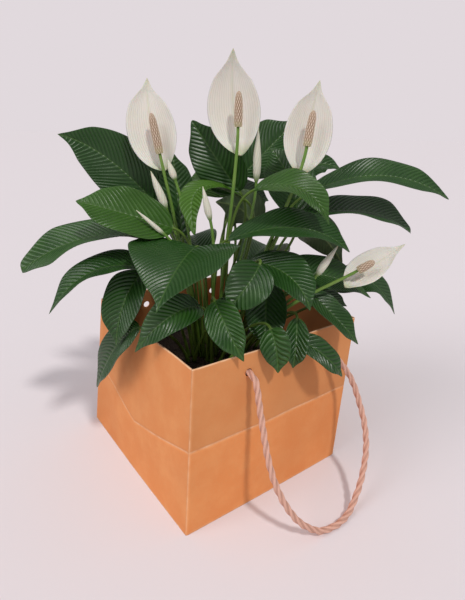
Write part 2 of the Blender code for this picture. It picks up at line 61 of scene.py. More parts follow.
# The plant, in centimetres from the middle of the bag's base. Most of the places began as
# readings cast through a fitted camera to a chosen depth, and many were then moved.
# base, middle and tip: points of the midrib. peak: where along the blade it is widest.
# facing: azimuth and elevation, in degrees, of the way that the upper side looks at the middle.
# twist: degrees turned from base to tip.
Leaf = namedtuple("Leaf", "name base middle tip width peak facing twist")
LEAVES = [
    Leaf("leaf_left_top", (-3, 3.5, 25.5), (-7.5, 5.8, 31), (-12, 7.5, 33.5), 5.2, 0.36, (-127, 25), 0),
    Leaf("leaf_behind_left_flower", (-2.5, 1.5, 24), (-2.3, 2.8, 28.5), (-2, 4, 32), 3.3, 0.4, (-127, 25), 0),
    Leaf("leaf_left_glossy", (-4.4, 0, 25.4), (-8.9, 1.5, 27), (-12.2, 3.5, 28), 4.4, 0.4, (-127, 45), 0),
    Leaf("leaf_left_back", (-2, 6.5, 24.5), (-4, 10.5, 26.5), (-5.5, 14, 27.5), 4, 0.4, (-127, 45), 0),
    Leaf("leaf_left_twisted", (-5, 0, 23.5), (-10.5, 4, 24.5), (-16.5, 8.5, 21), 4.5, 0.6, (-127, 75), -70),
    Leaf("leaf_left_arching", (-6.5, -0.5, 21.5), (-11.5, 1.5, 22), (-16, 2, 18.5), 4, 0.4, (-127, 80), 0),
    Leaf("leaf_front_large", (-3.5, -2.7, 24), (-7.1, -5.3, 23), (-10.2, -7.3, 20.4), 9, 0.28, (-145, 55), 0),
    Leaf("leaf_left_corner", (-7.5, 0.5, 21.5), (-10, -0.5, 19), (-11, -0.5, 15), 3.8, 0.4, (-150, 25), 0),
    Leaf("leaf_over_left_edge", (-9.2, -2, 17), (-10.6, 0.6, 14.4), (-11.4, 5, 8), 3, 0.5, (-150, 40), 0),
    Leaf("leaf_left_low", (-4.5, -5, 19), (-8, -5.5, 19), (-10.5, -3.5, 15.5), 3, 0.4, (-127, 45), 0),
    Leaf("leaf_front_hanging", (-4.3, -7, 20.2), (-4.8, -9.5, 18.7), (-4.2, -11.2, 16.1), 2.8, 0.4,
         (-150, 35), 0),
    Leaf("leaf_centre_front", (-0.7, -8.5, 23.3), (-2.4, -9, 21.8), (-4.2, -8.4, 19.6), 3.5, 0.4,
         (-110, 35), 0),
    Leaf("leaf_centre_right", (0.8, -5.1, 22.6), (1.9, -9.5, 22.1), (2.6, -11.8, 19.4), 3.9, 0.4,
         (-110, 50), 0),
    Leaf("leaf_front_dark", (3, -5.4, 20.5), (1.3, -7.4, 17.8), (0.3, -8.6, 15.3), 3.5, 0.45, (-127, 25), 0),
    Leaf("leaf_over_front_edge", (-0.5, -10.2, 17.8), (-0.8, -11.4, 16.4), (-0.8, -11.8, 14.2), 2.4, 0.4,
         (-140, 25), 0),
    Leaf("leaf_over_front_narrow", (2.9, -10, 18), (1.7, -11.3, 15.9), (1.2, -11.6, 14), 2, 0.4,
         (-127, 20), 0),
    Leaf("leaf_over_right_edge", (2, -10.5, 16.5), (4, -12.5, 15), (6, -13.5, 12.5), 2.2, 0.45,
         (-127, 55), 0),
    Leaf("leaf_right_corner", (6.4, -7.4, 19.4), (7, -11, 17.5), (8.5, -13, 15), 3, 0.4, (-90, 60), 0),
    Leaf("leaf_right_thin", (9.5, -5.5, 18.5), (11, -7, 17.5), (12.5, -8, 16.5), 2, 0.4, (-110, 60), 0),
    Leaf("leaf_right_broad", (-0.5, -3.5, 24.5), (3.8, -8.3, 26), (7.5, -11.5, 24), 4.4, 0.45, (-120, 70), 0),
    Leaf("leaf_right_underside", (8.5, -4, 25), (12, -4, 23.5), (14, -5.5, 20.5), 3.5, 0.4, (50, 10), 0),
    Leaf("leaf_right_low", (6, -4.5, 19), (10, -6.5, 20), (14.5, -9.5, 17.5), 4.5, 0.4, (-120, 60), 0),
    Leaf("leaf_right_lowest", (13, -6, 17.5), (16.5, -7.5, 18.5), (19.5, -9.5, 14.5), 4, 0.45, (-110, 60), 0),
    Leaf("leaf_right_twisted", (6.3, -6, 26.4), (12, -9, 27), (16, -12, 25), 4.4, 0.58, (-127, 72), 14),
    Leaf("leaf_right_top", (7.5, -5.5, 28.5), (12, -10.5, 30.5), (17.5, -14.5, 28.5), 4, 0.45,
         (-127, 65), 20),
    Leaf("leaf_right_small", (10, -2.5, 29.5), (12, -2.5, 31), (14, -4, 30.5), 3, 0.4, (-127, 55), 0),
    Leaf("leaf_centre_arching", (2, -4, 29), (4, -8, 29.5), (5.5, -10.5, 26.5), 3.5, 0.4, (-100, 50), 0),
    Leaf("leaf_back_top", (5.9, 2.7, 29.8), (8.3, 1.6, 32.4), (11.2, 0.6, 35.3), 5, 0.45, (-140, 20), 0),
    Leaf("leaf_back_ribbed", (7.5, -4.5, 26), (7.5, -3, 29.5), (7, -0.5, 32.5), 4.5, 0.5, (-127, 25), 0),
    Leaf("leaf_centre_top", (3.2, -0.3, 28.4), (1, 0.6, 31.5), (-1, 2, 35), 4.2, 0.45, (-150, 20), 0),
    Leaf("leaf_back_left", (3.9, 3, 27.5), (2.9, 5.3, 29), (1.8, 7.6, 28.5), 4.5, 0.4, (-127, 50), 0),
    Leaf("leaf_centre_curled", (3, -1.3, 27.8), (-1.6, -0.3, 28.9), (-3.3, -2.1, 25), 2.5, 0.5,
         (-150, 70), 0),
    Leaf("leaf_centre_pale", (4.5, -0.5, 25), (4, 0.5, 26.5), (2.5, 3, 27), 4, 0.4, (53, 0), 0),
    Leaf("leaf_centre_inner", (5.1, 2.5, 26.8), (7.3, 2.7, 27.3), (9.3, 2.2, 26.8), 4, 0.4, (-127, 45), 0),
    Leaf("leaf_rear_left", (2, 5.5, 20), (3.5, 9.5, 22), (5.5, 13.5, 18.5), 5, 0.4, (75, 60), 0),
    Leaf("leaf_rear_right", (6, 2, 19), (10.5, 3.5, 21), (15, 5.5, 17.5), 5, 0.4, (20, 60), 0),
]

# stipe: where the spadix starts. spadix: its top. base, middle, tip, width, facing: the spathe.
Flower = namedtuple("Flower", "name stipe spadix base middle tip width facing")
FLOWERS = [
    Flower("flower_left", (-4.5, 2, 32), (-5, 2.5, 35.5), (-4, 2, 30.5),
           (-4.5, 3.5, 34.5), (-4.5, 4, 38.5), 4.8, (-127, 10)),
    Flower("flower_middle", (1.5, -2, 34.5), (1.5, -2, 37.5), (2, -2, 32),
           (2, -0.5, 36.5), (1.5, -1, 41), 5.2, (-127, 5)),
    Flower("flower_right", (5.5, -7, 33), (6, -7, 36), (5.5, -6.5, 30.5),
           (6.5, -6, 34.5), (7, -6.5, 38.5), 4.6, (-127, 10)),
    Flower("flower_low", (9, -11.5, 22), (10, -12.5, 23), (8, -11, 20.5),
           (11, -11.5, 22), (13, -13.5, 24.5), 3.4, (-150, 40)),
]

# base: where the furled spathe starts on its stalk. tip: its point. girth: against the full bud.
Bud = namedtuple("Bud", "name base tip girth")
BUDS = [
    Bud("bud_left_low", (-4.5, 1, 27), (-5.5, 2, 30.5), 1),
    Bud("bud_left_high", (-3.6, 0.8, 29.7), (-4.1, 1.3, 31.6), 0.8),
    Bud("bud_left_slender", (-5.8, -0.9, 25.1), (-7.9, 0.4, 27.3), 0.5),
    Bud("bud_centre", (-2.5, -3.5, 26.5), (-3, -3, 29.5), 0.8),
    Bud("bud_middle_high", (3.5, -2.5, 29.5), (3.5, -2.5, 34.5), 1),
    Bud("bud_right_low", (5.5, -9.5, 21.5), (7, -10.5, 24.5), 0.9),
]

# Degrees that a stem's root is turned about the crown. A search in steps of 5 degrees found them:
# they keep the CAD's solids apart.
ROOT_TURNS = {
    "leaf_left_glossy": 30, "leaf_behind_left_flower": -20, "leaf_front_large": 10, "leaf_centre_top": 50,
    "leaf_centre_front": -65, "leaf_centre_inner": 35, "leaf_centre_curled": 5, "leaf_back_top": 5,
    "leaf_back_left": -70, "leaf_back_ribbed": 45, "leaf_over_front_edge": -20, "leaf_over_right_edge": 20,
    "leaf_right_corner": 15, "leaf_right_top": 20, "leaf_right_low": 20, "leaf_right_small": 5,
    "leaf_right_underside": -15, "flower_middle": -40, "flower_right": 40, "flower_low": -55,
    "bud_left_slender": 10, "bud_left_high": -20, "bud_left_low": -5,
}

# How a leaf's green differs from the usual one: (lightness, yellowness), each from -1 to 1.
LEAF_TONES = {
    "leaf_centre_arching": (0.25, 0.1), "leaf_centre_pale": (0.7, 0.7), "leaf_centre_curled": (0.4, 0.3),
    "leaf_back_left": (0.3, 0.2), "leaf_back_top": (0.1, 0.0), "leaf_centre_inner": (-0.6, 0.0),
    "leaf_front_dark": (-0.4, 0.0), "leaf_left_corner": (-0.2, 0.0), "leaf_left_glossy": (0.15, 0.1),
}

# The handle's centreline, in millimetres, from the left hole to the right one.
ROPE_ROUTE = [
    (-29.5, -101.2, 143), (-29.5, -104.5, 143), (-29.6, -109.4, 142), (-29.9, -113.7, 139.2),
    (-30.3, -116.6, 135), (-31, -120, 126), (-32, -127, 107), (-35, -143, 74), (-32, -156, 48),
    (-21, -168, 24), (-4, -176, 8.5), (10, -178.5, 3.8), (24, -179.5, 3.2), (38, -177.5, 4.2),
    (50, -174, 9.5), (66, -168, 24), (82, -158, 44), (89, -147, 67), (89, -133, 95), (85.5, -126.5, 110),
    (79.8, -122.3, 121), (73.5, -119, 130), (69.4, -116, 135.6), (67.2, -112.9, 139.5),
    (66, -108.9, 142), (65.5, -104.5, 143), (65.5, -101.2, 143),
]

# Paper bag, nursery pot and soil, in metres, as the frame has them.
BAG_HIGH = np.array(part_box("paper_bag")[1])
POT_LOW, POT_HIGH = (np.array(corner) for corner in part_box("nursery_pot"))
SOIL_LOW, SOIL_HIGH = (np.array(corner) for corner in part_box("soil"))
BAG_HEIGHT = BAG_HIGH[2]
BASE_X = (-0.098, 0.096)
BASE_Y = (-0.108, 0.112)
RIM_X = (-0.086, 0.113)
RIM_Y = (-0.102, 0.094)
CREASE_HEIGHT = 0.085
CREASE_DIP = 0.027
BULGE = 0.002
HOLE_XS = (-0.0295, 0.0655)
HOLE_HEIGHT = 0.143
HOLE_RADIUS = 0.0037
SOIL_TOP = SOIL_HIGH[2]
POT_WALL = 0.0015
POT_BASE_RADIUS = 0.052
POT_LIP = 0.004

# Shapes that the pieces have here.
LEAF_SPREAD = 1.13              # a blade's width, as a share of its table width
SPATHE_SPREAD = 0.94            # a spathe's width, as a share of its table width
FLAT_FROM = 0.006               # half-width in metres from which a ring is fully flat
ROOT_DEPTH = 0.002              # how far a stem is sunk in the soil
STRAND_CREST = 0.93             # share of the rope's radius above which there is no groove
STRAND_VALLEY = 0.74            # share of the rope's radius to which grooves are filled


# ---------------------------------------------------------------- settings

def length_setting(name, description, default):
    """A setting in metres."""
    return FloatProperty(name=name, description=description, default=default, unit="LENGTH")


def colour_setting(name, description, default):
    """A setting that is a colour."""
    return FloatVectorProperty(name=name, description=description, default=default, subtype="COLOR")


class PlantSettings(bpy.types.PropertyGroup):
    """Sizes of the plant's parts."""

    blade_thickness: length_setting("Blade thickness", "Thickness of a leaf blade", 0.0006)
    petiole_radius: length_setting("Petiole radius", "Radius of a leaf's stalk", 0.0016)
    stalk_radius: length_setting("Flower stalk radius", "Radius of a flower's stalk", 0.0018)
    spadix_radius: length_setting("Spadix radius", "Radius of a flower's spadix", 0.0042)
    bud_radius: length_setting("Bud radius", "Radius of a full furled bud", 0.0042)
    vein_spacing: length_setting("Vein spacing", "Distance between a leaf's side veins", 0.0052)
    pleat_depth: length_setting("Pleat depth", "How far a blade swells between veins", 0.0009)
    blade_stations: IntProperty(
        name="Blade stations", description="Rings along a leaf blade", default=150, min=8)


class PlantColours(bpy.types.PropertyGroup):
    """Colours of the plant's parts."""

    upper: colour_setting("Leaf top", "Upper side of a leaf", (0.010, 0.050, 0.004))
    upper_light: colour_setting("Leaf top, light", "A young or lit leaf", (0.07, 0.22, 0.012))
    under: colour_setting("Leaf underside", "Under side of a leaf", (0.045, 0.085, 0.03))
    petiole: colour_setting("Petiole", "A leaf's stalk", (0.10, 0.175, 0.022))
    stalk: colour_setting("Flower stalk", "A flower's stalk", (0.12, 0.24, 0.025))
    spathe: colour_setting("Spathe", "The white hood of a flower", (0.82, 0.775, 0.71))
    spadix: colour_setting("Spadix", "The bumpy spike of a flower", (0.56, 0.42, 0.31))


class PackSettings(bpy.types.PropertyGroup):
    """Sizes and colours of the bag, its handle and the pot."""

    paper: length_setting("Paper wall", "Thickness of the bag's wall at its rim", 0.0011)
    kraft: colour_setting("Kraft paper", "Colour of the bag", (0.78, 0.275, 0.080))
    # Paler colour along folds: worn paper, and a painted highlight along the rim and corners.
    kraft_worn_and_highlit: colour_setting("Kraft, worn", "Colour along folds", (0.88, 0.55, 0.33))
    rope: colour_setting("Rope", "Colour of the handle", (0.78, 0.46, 0.36))
    rope_diameter: length_setting("Rope diameter", "Thickness of the handle", 0.0062)
    rope_lay: length_setting("Rope lay", "Length of one full turn of the strands", 0.034)
    pot: colour_setting("Pot", "Colour of the nursery pot", (0.018, 0.018, 0.019))


class StageSettings(bpy.types.PropertyGroup):
    """Floor and lights."""

    floor: colour_setting("Floor", "Colour of the floor", (0.77, 0.715, 0.75))
    backdrop: colour_setting("Backdrop", "Colour behind the floor", (0.753, 0.694, 0.723))
    key_strength: FloatProperty(name="Key light", description="Strength of the main light", default=1.45)
    side_strength: FloatProperty(
        name="Side light", description="Strength of the light from the left", default=1.0)
    sky: FloatProperty(name="Sky", description="Strength of the light from all round", default=0.45)


# ---------------------------------------------------------------- curves

def unit(v):
    """Vectors scaled to length one, row by row."""
    v = np.asarray(v, float)
    return v / np.linalg.norm(v, axis=-1, keepdims=True)


def across(v, tangent):
    """The part of v at right angles to each tangent, at length one."""
    return unit(v - (v * tangent).sum(-1, keepdims=True) * tangent)


def direction(azimuth, elevation):
    """Unit vector for an azimuth from +X towards +Y and an elevation, both in degrees."""
    a, e = radians(azimuth), radians(elevation)
    return np.array([cos(e) * cos(a), cos(e) * sin(a), sin(e)])


def ease(x, low, high):
    """0 below low, 1 above high, and a smooth S between."""
    t = np.clip((x - low) / (high - low), 0, 1)
    return t * t * (3 - 2 * t)


def midrib(base, middle, tip, s):
    """Quadratic curve through three points, and its unit tangents. s is 0 to 1, one row each."""
    a, m, b = (np.array(p, float) for p in (base, middle, tip))
    c = 2 * m - (a + b) / 2
    s = s[:, None]
    points = (1 - s) ** 2 * a + 2 * s * (1 - s) * c + s * s * b
    tangents = unit((1 - s) * (c - a) + s * (b - c))
    return points, tangents


def stem(root, end, end_tangent, s):
    """Cubic curve that leaves the soil upwards and reaches its end along end_tangent."""
    root, end = np.array(root, float), np.array(end, float)
    reach = np.linalg.norm(end - root)
    lean = unit(end - root) + np.array([0, 0, 1.5])
    p1 = root + unit(lean) * reach * 0.4
    p2 = end - np.asarray(end_tangent) * reach * 0.22
    s = s[:, None]
    points = (1 - s) ** 3 * root + 3 * s * (1 - s) ** 2 * p1 + 3 * s * s * (1 - s) * p2 + s ** 3 * end
    slopes = (1 - s) ** 2 * (p1 - root) + 2 * s * (1 - s) * (p2 - p1) + s * s * (end - p2)
    return points, unit(slopes)


def carried(normal, tangents, at):
    """normal at station `at`, carried along a flat curve without turning about the tangent."""
    bend = np.cross(tangents[0], tangents[-1])
    if np.linalg.norm(bend) < 1e-3:
        return np.repeat(across(normal, tangents[at])[None], len(tangents), 0)
    bend = unit(bend)
    inward = np.cross(bend[None], tangents)
    here = across(normal, tangents[at])
    return (here @ bend) * bend[None] + (here @ inward[at]) * inward


def turned(normals, tangents, angles):
    """normals turned about their tangents by angles in radians."""
    return normals * np.cos(angles)[:, None] + np.cross(tangents, normals) * np.sin(angles)[:, None]


def outline(s, peak, fullness=0.75):
    """Half-width of a pointed oval, 1 at its widest: s to a power times (1 - s) to a power."""
    p = fullness
    q = p * (1 - peak) / peak
    shape = np.power(s, p) * np.power(np.clip(1 - s, 0, 1), q)
    return shape / (peak ** p * (1 - peak) ** q)


def root_of(name, base, spread=0.36, closest=0.8, furthest=5.0):
    """Where a stem leaves the soil: in line with its end, nearer the middle, a little sunk."""
    x, y = base[0], base[1]
    reach = max(np.hypot(x, y), 0.01)
    r = min(max(reach * spread, closest), furthest)
    a = np.arctan2(y, x) + radians(ROOT_TURNS.get(name, 0))
    return np.array([r * CM * np.cos(a), r * CM * np.sin(a), SOIL_TOP - ROOT_DEPTH])


def smooth_curve(route, spacing):
    """Points about `spacing` apart on a smooth curve through the route's own points."""
    route = np.array(route, float)
    ends = np.vstack([2 * route[0] - route[1], route, 2 * route[-1] - route[-2]])
    fine = []
    t = np.linspace(0, 1, 24, endpoint=False)[:, None]
    for a, b, c, d in zip(ends, ends[1:], ends[2:], ends[3:]):
        fine.append(0.5 * (2 * b + (c - a) * t + (2 * a - 5 * b + 4 * c - d) * t ** 2
                           + (3 * b - a - 3 * c + d) * t ** 3))
    fine = np.vstack(fine + [route[-1:]])
    along = distance_along(fine)
    stations = np.linspace(0, along[-1], int(round(along[-1] / spacing)) + 1)
    return np.stack([np.interp(stations, along, fine[:, i]) for i in range(3)], 1)


def distance_along(points):
    """Distance along a line of points to each of them."""
    return np.concatenate([[0], np.cumsum(np.linalg.norm(np.diff(points, axis=0), axis=1))])


def steady_frames(points):
    """Tangents, and two directions square to them that turn as little as they can along a path."""
    tangents = unit(np.gradient(points, axis=0))
    normal = across(np.array([0.31, 0.2, 0.93]), tangents[0])
    normals = [normal]
    for tangent in tangents[1:]:
        normals.append(across(normals[-1], tangent))
    normals = np.array(normals)
    return tangents, normals, np.cross(tangents, normals)


# ---------------------------------------------------------------- surfaces

def grid_faces(rows, columns, closed):
    """Quads of a grid with rows along and columns round it. They face out when the columns turn
    right-handed about the way that the rows run."""
    i, j = np.meshgrid(np.arange(rows - 1), np.arange(columns if closed else columns - 1), indexing="ij")
    n = (j + 1) % columns
    a, b = i * columns, (i + 1) * columns
    return np.stack([a + j, a + n, b + n, b + j], -1).reshape(-1, 4)


def add_surface(name, grid, start=None, end=None, marks=None, closed=True):
    """A mesh object from a grid of points, closed round its columns, with a point at either end.

    start and end are the points that close it. marks are values per grid point, kept as attributes.
    The UV map's x is the share of the way round the columns. Its y is the distance along the rows,
    in metres.
    """
    rows, columns = grid.shape[:2]
    points = [grid.reshape(-1, 3)]
    faces = grid_faces(rows, columns, closed).tolist()
    marks = {key: [np.broadcast_to(value, (rows, columns)).reshape(-1)]
             for key, value in (marks or {}).items()}
    around = np.broadcast_to(np.arange(columns) / columns, (rows, columns))
    along = np.broadcast_to(distance_along(grid.mean(axis=1))[:, None], (rows, columns))
    place = {"around": [around.reshape(-1)], "along": [along.reshape(-1)]}
    k = np.arange(columns)
    for pole, row in ((start, 0), (end, rows - 1)):
        if pole is None:
            continue
        index = sum(len(p) for p in points)
        points.append(np.array([pole], float))
        first, second = row * columns + k, row * columns + (k + 1) % columns
        ring = (second, first) if row == 0 else (first, second)
        faces += np.stack([ring[0], ring[1], np.full(columns, index)], -1).tolist()
        for values in (*marks.values(), *place.values()):
            values.append([values[0].reshape(rows, columns)[row].mean()])
    mesh = bpy.data.meshes.new(name)
    mesh.from_pydata(np.concatenate(points), [], faces)
    for key, values in marks.items():
        layer = mesh.attributes.new(key, "FLOAT", "POINT")
        layer.data.foreach_set("value", np.concatenate(values).astype(np.float32))
    corners = np.empty(len(mesh.loops), np.int32)
    mesh.loops.foreach_get("vertex_index", corners)
    uv = np.stack([np.concatenate(place["around"])[corners], np.concatenate(place["along"])[corners]], -1)
    # The seam's last column runs up to 1 instead of back to 0.
    face_of = np.repeat(np.arange(len(mesh.polygons)), [len(f) for f in faces])
    widest = np.zeros(len(faces))
    np.maximum.at(widest, face_of, uv[:, 0])
    wrap = (widest[face_of] > 0.9) & (uv[:, 0] < 0.1)
    uv[wrap, 0] += 1
    mesh.uv_layers.new(name="UVMap").data.foreach_set("uv", uv.astype(np.float32).reshape(-1))
    mesh.shade_smooth()
    piece = bpy.data.objects.new(name, mesh)
    bpy.context.scene.collection.objects.link(piece)
    return piece


def finish_piece(piece, material, node):
    """Gives a piece its finish and its body, and hides the CAD node that it stands for."""
    piece.data.materials.clear()
    piece.data.materials.append(material)
    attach(piece, "root")
    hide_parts(node)
    return piece


def merge_doubles(piece, distance=1e-6):
    """Points in the same place made one."""
    bm = bmesh.new()
    bm.from_mesh(piece.data)
    bmesh.ops.remove_doubles(bm, verts=bm.verts, dist=distance)
    bm.to_mesh(piece.data)
    bm.free()


def tube(points, radius, columns=16, turn=None):
    """Rings carried along a path. radius is one value per ring, or one per ring and column.
    turn adds an angle to each ring."""
    _, normals, sides = steady_frames(points)
    angle = np.arange(columns) * tau / columns
    if turn is not None:
        angle = angle[None] + turn[:, None]
    else:
        angle = np.broadcast_to(angle, (len(points), columns))
    radius = np.asarray(radius)
    if radius.ndim == 1:
        radius = radius[:, None]
    return (points[:, None] + (radius * np.cos(angle))[..., None] * normals[:, None]
            + (radius * np.sin(angle))[..., None] * sides[:, None])


def ragged(x, y, seed, waves=6, low=1.0, high=3.0):
    """Smooth irregular values between about -1 and 1: a sum of sine waves that run in many directions."""
    rng = np.random.default_rng(seed)
    total = np.zeros(np.broadcast(x, y).shape)
    for _ in range(waves):
        heading, pitch, phase = rng.uniform(0, tau), rng.uniform(low, high), rng.uniform(0, tau)
        total += np.sin(tau * pitch * (x * cos(heading) + y * sin(heading)) + phase)
    return total / np.sqrt(waves)


# ---------------------------------------------------------------- shader maths

class Value:
    """A socket of a material's nodes, on which arithmetic adds the nodes that work it out."""

    def __init__(self, maker, socket):
        self.maker, self.socket = maker, socket

    def math(self, operation, *others, **settings):
        inputs = {index: value for index, value in enumerate((self, *others))}
        return self.maker.node("ShaderNodeMath", {"operation": operation, **settings}, inputs)

    def __add__(self, other):
        return self.math("ADD", other)

    def __sub__(self, other):
        return self.math("SUBTRACT", other)

    def __mul__(self, other):
        return self.math("MULTIPLY", other)

    def __truediv__(self, other):
        return self.math("DIVIDE", other)

    def __rsub__(self, other):
        return self.maker.node("ShaderNodeMath", {"operation": "SUBTRACT"}, {0: other, 1: self})

    __radd__ = __add__

    def clamped(self):
        return self.math("ADD", 0.0, use_clamp=True)

    def absolute(self):
        return self.math("ABSOLUTE")

    def fraction(self):
        return self.math("FRACT")

    def sine(self):
        return self.math("SINE")

    def off_half(self):
        """How far the fraction of the value is from one half: 0 between lines, 0.5 on a line."""
        return (self.fraction() - 0.5).absolute()

    def band(self, low, high):
        """0 below low, 1 above high, with a smooth step between."""
        return self.maker.node("ShaderNodeMapRange", {"interpolation_type": "SMOOTHSTEP"},
                               {"Value": self, "From Min": low, "From Max": high})

    def near(self, middle, width):
        """1 where the value is at middle, falling to 0 at width away."""
        return 1 - ((self - middle).absolute() / width).clamped()


class Finish:
    """A material made from a Principled BSDF, with one method that adds any node."""

    def __init__(self, name, **constants):
        self.material = bpy.data.materials.new(name)
        self.material.use_nodes = True
        self.tree = self.material.node_tree
        self.shader = self.tree.nodes["Principled BSDF"]
        for key, value in constants.items():
            self.shader.inputs[key.replace("_", " ").title().replace("Ior", "IOR")].default_value = value

    def node(self, kind, settings=None, inputs=None, output=0):
        """A node of that type, its settings made first, then its sockets filled or linked."""
        node = self.tree.nodes.new(kind)
        for key, value in (settings or {}).items():
            if key == "stops":
                ramp = node.color_ramp.elements
                while len(ramp) < len(value):
                    ramp.new(0.5)
                for element, (position, colour) in zip(ramp, value):
                    element.position, element.color = position, (*colour, 1)
            else:
                setattr(node, key, value)
        for key, value in (inputs or {}).items():
            if isinstance(value, Value):
                self.tree.links.new(value.socket, node.inputs[key])
            else:
                node.inputs[key].default_value = value
        return Value(self, node.outputs[output])

    def mark(self, name):
        """The value of a mesh attribute."""
        return self.node("ShaderNodeAttribute", {"attribute_name": name}, output="Fac")

    def place(self):
        """Object coordinates."""
        return self.node("ShaderNodeTexCoord", output="Object")

    def uv(self):
        """The UV map, as a vector."""
        return self.node("ShaderNodeUVMap", {"uv_map": "UVMap"})

    def parts(self, vector):
        """The x, y and z of a vector."""
        return [self.node("ShaderNodeSeparateXYZ", inputs={0: vector}, output=i) for i in range(3)]

    def vector(self, x=0.0, y=0.0, z=0.0):
        return self.node("ShaderNodeCombineXYZ", inputs={0: x, 1: y, 2: z})

    def stretched(self, vector, x, y, z):
        """A vector scaled by different amounts along its axes."""
        return self.node("ShaderNodeVectorMath", {"operation": "MULTIPLY"}, {0: vector, 1: (x, y, z)})

    def noise(self, vector, scale, detail=3.0, roughness=0.55):
        """Noise from 0 to 1."""
        return self.node("ShaderNodeTexNoise", inputs={
            "Vector": vector, "Scale": scale, "Detail": detail, "Roughness": roughness})

    def cells(self, vector, scale):
        """Distance to the nearest of scattered points."""
        return self.node("ShaderNodeTexVoronoi", {"feature": "F1"}, {"Vector": vector, "Scale": scale})

    def mix(self, share, first, second):
        """Two colours mixed by share: all the first at 0, all the second at 1."""
        node = self.tree.nodes.new("ShaderNodeMix")
        node.data_type = "RGBA"
        sockets = [s for s in node.inputs if s.enabled]
        for socket, value in zip(sockets, (share, first, second)):
            if isinstance(value, Value):
                self.tree.links.new(value.socket, socket)
            else:
                socket.default_value = value if isinstance(value, float) else (*value, 1)
        return Value(self, [s for s in node.outputs if s.enabled][0])

    def bump(self, height, distance, strength=1.0):
        """A normal tilted by a height."""
        return self.node("ShaderNodeBump", inputs={
            "Height": height, "Distance": distance, "Strength": strength})

    def set(self, **links):
        """Links values to the shader's sockets."""
        for key, value in links.items():
            self.tree.links.new(value.socket, self.shader.inputs[key.replace("_", " ").title()])
        return self.material


def leaf_finish(colours):
    """Glossy green with a paler midrib above, painted sheen on the swells between side veins and painted
    shade in the vein grooves, paler and duller below, and a yellow-green petiole.
    """
    f = Finish("leaf", Specular_IOR_Level=0.4)
    tone, warmth = f.mark("tone"), f.mark("warmth")
    vein, blade, upper = f.mark("vein"), f.mark("blade"), f.mark("upper")
    from_midrib = f.mark("from_midrib")
    place = f.place()
    patches = f.noise(place, 55.0, 3.0)
    grain = f.noise(place, 900.0, 2.0)
    on_vein = vein.off_half().band(0.34, 0.5)
    fine = (vein * 5.0).off_half().band(0.3, 0.5)
    midrib_line = from_midrib.band(0.0011, 0.0004)
    lightness = (tone + (patches - 0.5) * 0.5).clamped()
    top = f.mix(lightness, tuple(colours.upper), tuple(colours.upper_light))
    top = f.mix(warmth.clamped() * 0.4, top, (0.20, 0.30, 0.02))
    # Painted sheen: the swells between side veins are lightened, in patches.
    painted_sheen_crest = 1 - (vein.off_half() * 2.6).clamped()
    strength = (patches - 0.2).clamped() * 1.6
    top = f.mix(painted_sheen_crest * strength * 0.35, top, (0.075, 0.150, 0.050))
    # Painted shade: the sunken vein grooves on top are darkened, in patches.
    top = f.mix(on_vein * strength * 0.6, top, (0.004, 0.020, 0.002))
    top = f.mix(midrib_line * 0.5, top, (0.06, 0.13, 0.025))
    below = f.mix((patches - 0.2).clamped() * 0.6, tuple(colours.under), (0.09, 0.14, 0.05))
    below = f.mix(on_vein * 0.3, below, (0.12, 0.18, 0.06))
    below = f.mix(midrib_line * 0.7, below, (0.17, 0.24, 0.08))
    face = f.mix(upper, below, top)
    stalk = f.mix((patches - 0.3).clamped(), tuple(colours.petiole), (0.07, 0.13, 0.02))
    colour = f.mix(blade.band(0.25, 0.9), stalk, face)
    rough = 0.5 - upper * blade * 0.2 + (patches - 0.5) * 0.16 + on_vein * 0.06
    swell = (vein * pi).sine().absolute()
    height = swell + grain * 0.06 - fine * 0.05 - midrib_line * 0.6
    return f.set(Base_Color=colour, Roughness=rough, Normal=f.bump(height, 0.0007, 0.55))


def stalk_finish(colours):
    """Satin yellow-green, streaked along its length."""
    f = Finish("flower_stalk")
    x, y, _ = f.parts(f.uv())
    streaks = f.noise(f.vector(x * 14.0, y * 40.0), 1.0, 2.0)
    patches = f.noise(f.place(), 40.0)
    colour = f.mix((streaks - 0.3).clamped(), tuple(colours.stalk), (0.13, 0.26, 0.06))
    colour = f.mix((patches - 0.45).clamped() * 1.5, colour, (0.26, 0.36, 0.08))
    return f.set(Base_Color=colour, Roughness=0.42 + streaks * 0.12, Normal=f.bump(streaks, 0.0002, 0.5))


def spathe_finish(colours):
    """Soft white with fine lengthwise veins, greener at the base, along the middle and at the tip."""
    f = Finish("spathe", Subsurface_Weight=0.12, Subsurface_Scale=0.004)
    u, s, back = f.mark("u"), f.mark("s"), f.mark("back")
    patches = f.noise(f.place(), 70.0)
    veins = (u * 11.0).off_half().band(0.32, 0.5)
    fine = (u * 33.0).off_half().band(0.25, 0.5)
    middle = u.near(0.0, 0.1)
    ends = s.band(0.14, 0.0) + s.band(0.86, 1.0) * 0.7
    colour = f.mix((patches - 0.35).clamped() * 0.5, tuple(colours.spathe), (0.64, 0.63, 0.54))
    colour = f.mix(veins * 0.45, colour, (0.50, 0.49, 0.41))
    colour = f.mix(middle * (0.35 + back * 0.3), colour, (0.50, 0.56, 0.34))
    colour = f.mix(ends.clamped() * 0.6, colour, (0.42, 0.50, 0.22))
    height = veins * 0.8 + fine * 0.4 + patches * 0.4
    return f.set(Base_Color=colour, Roughness=0.42 + patches * 0.15, Normal=f.bump(height, 0.0002, 0.6))


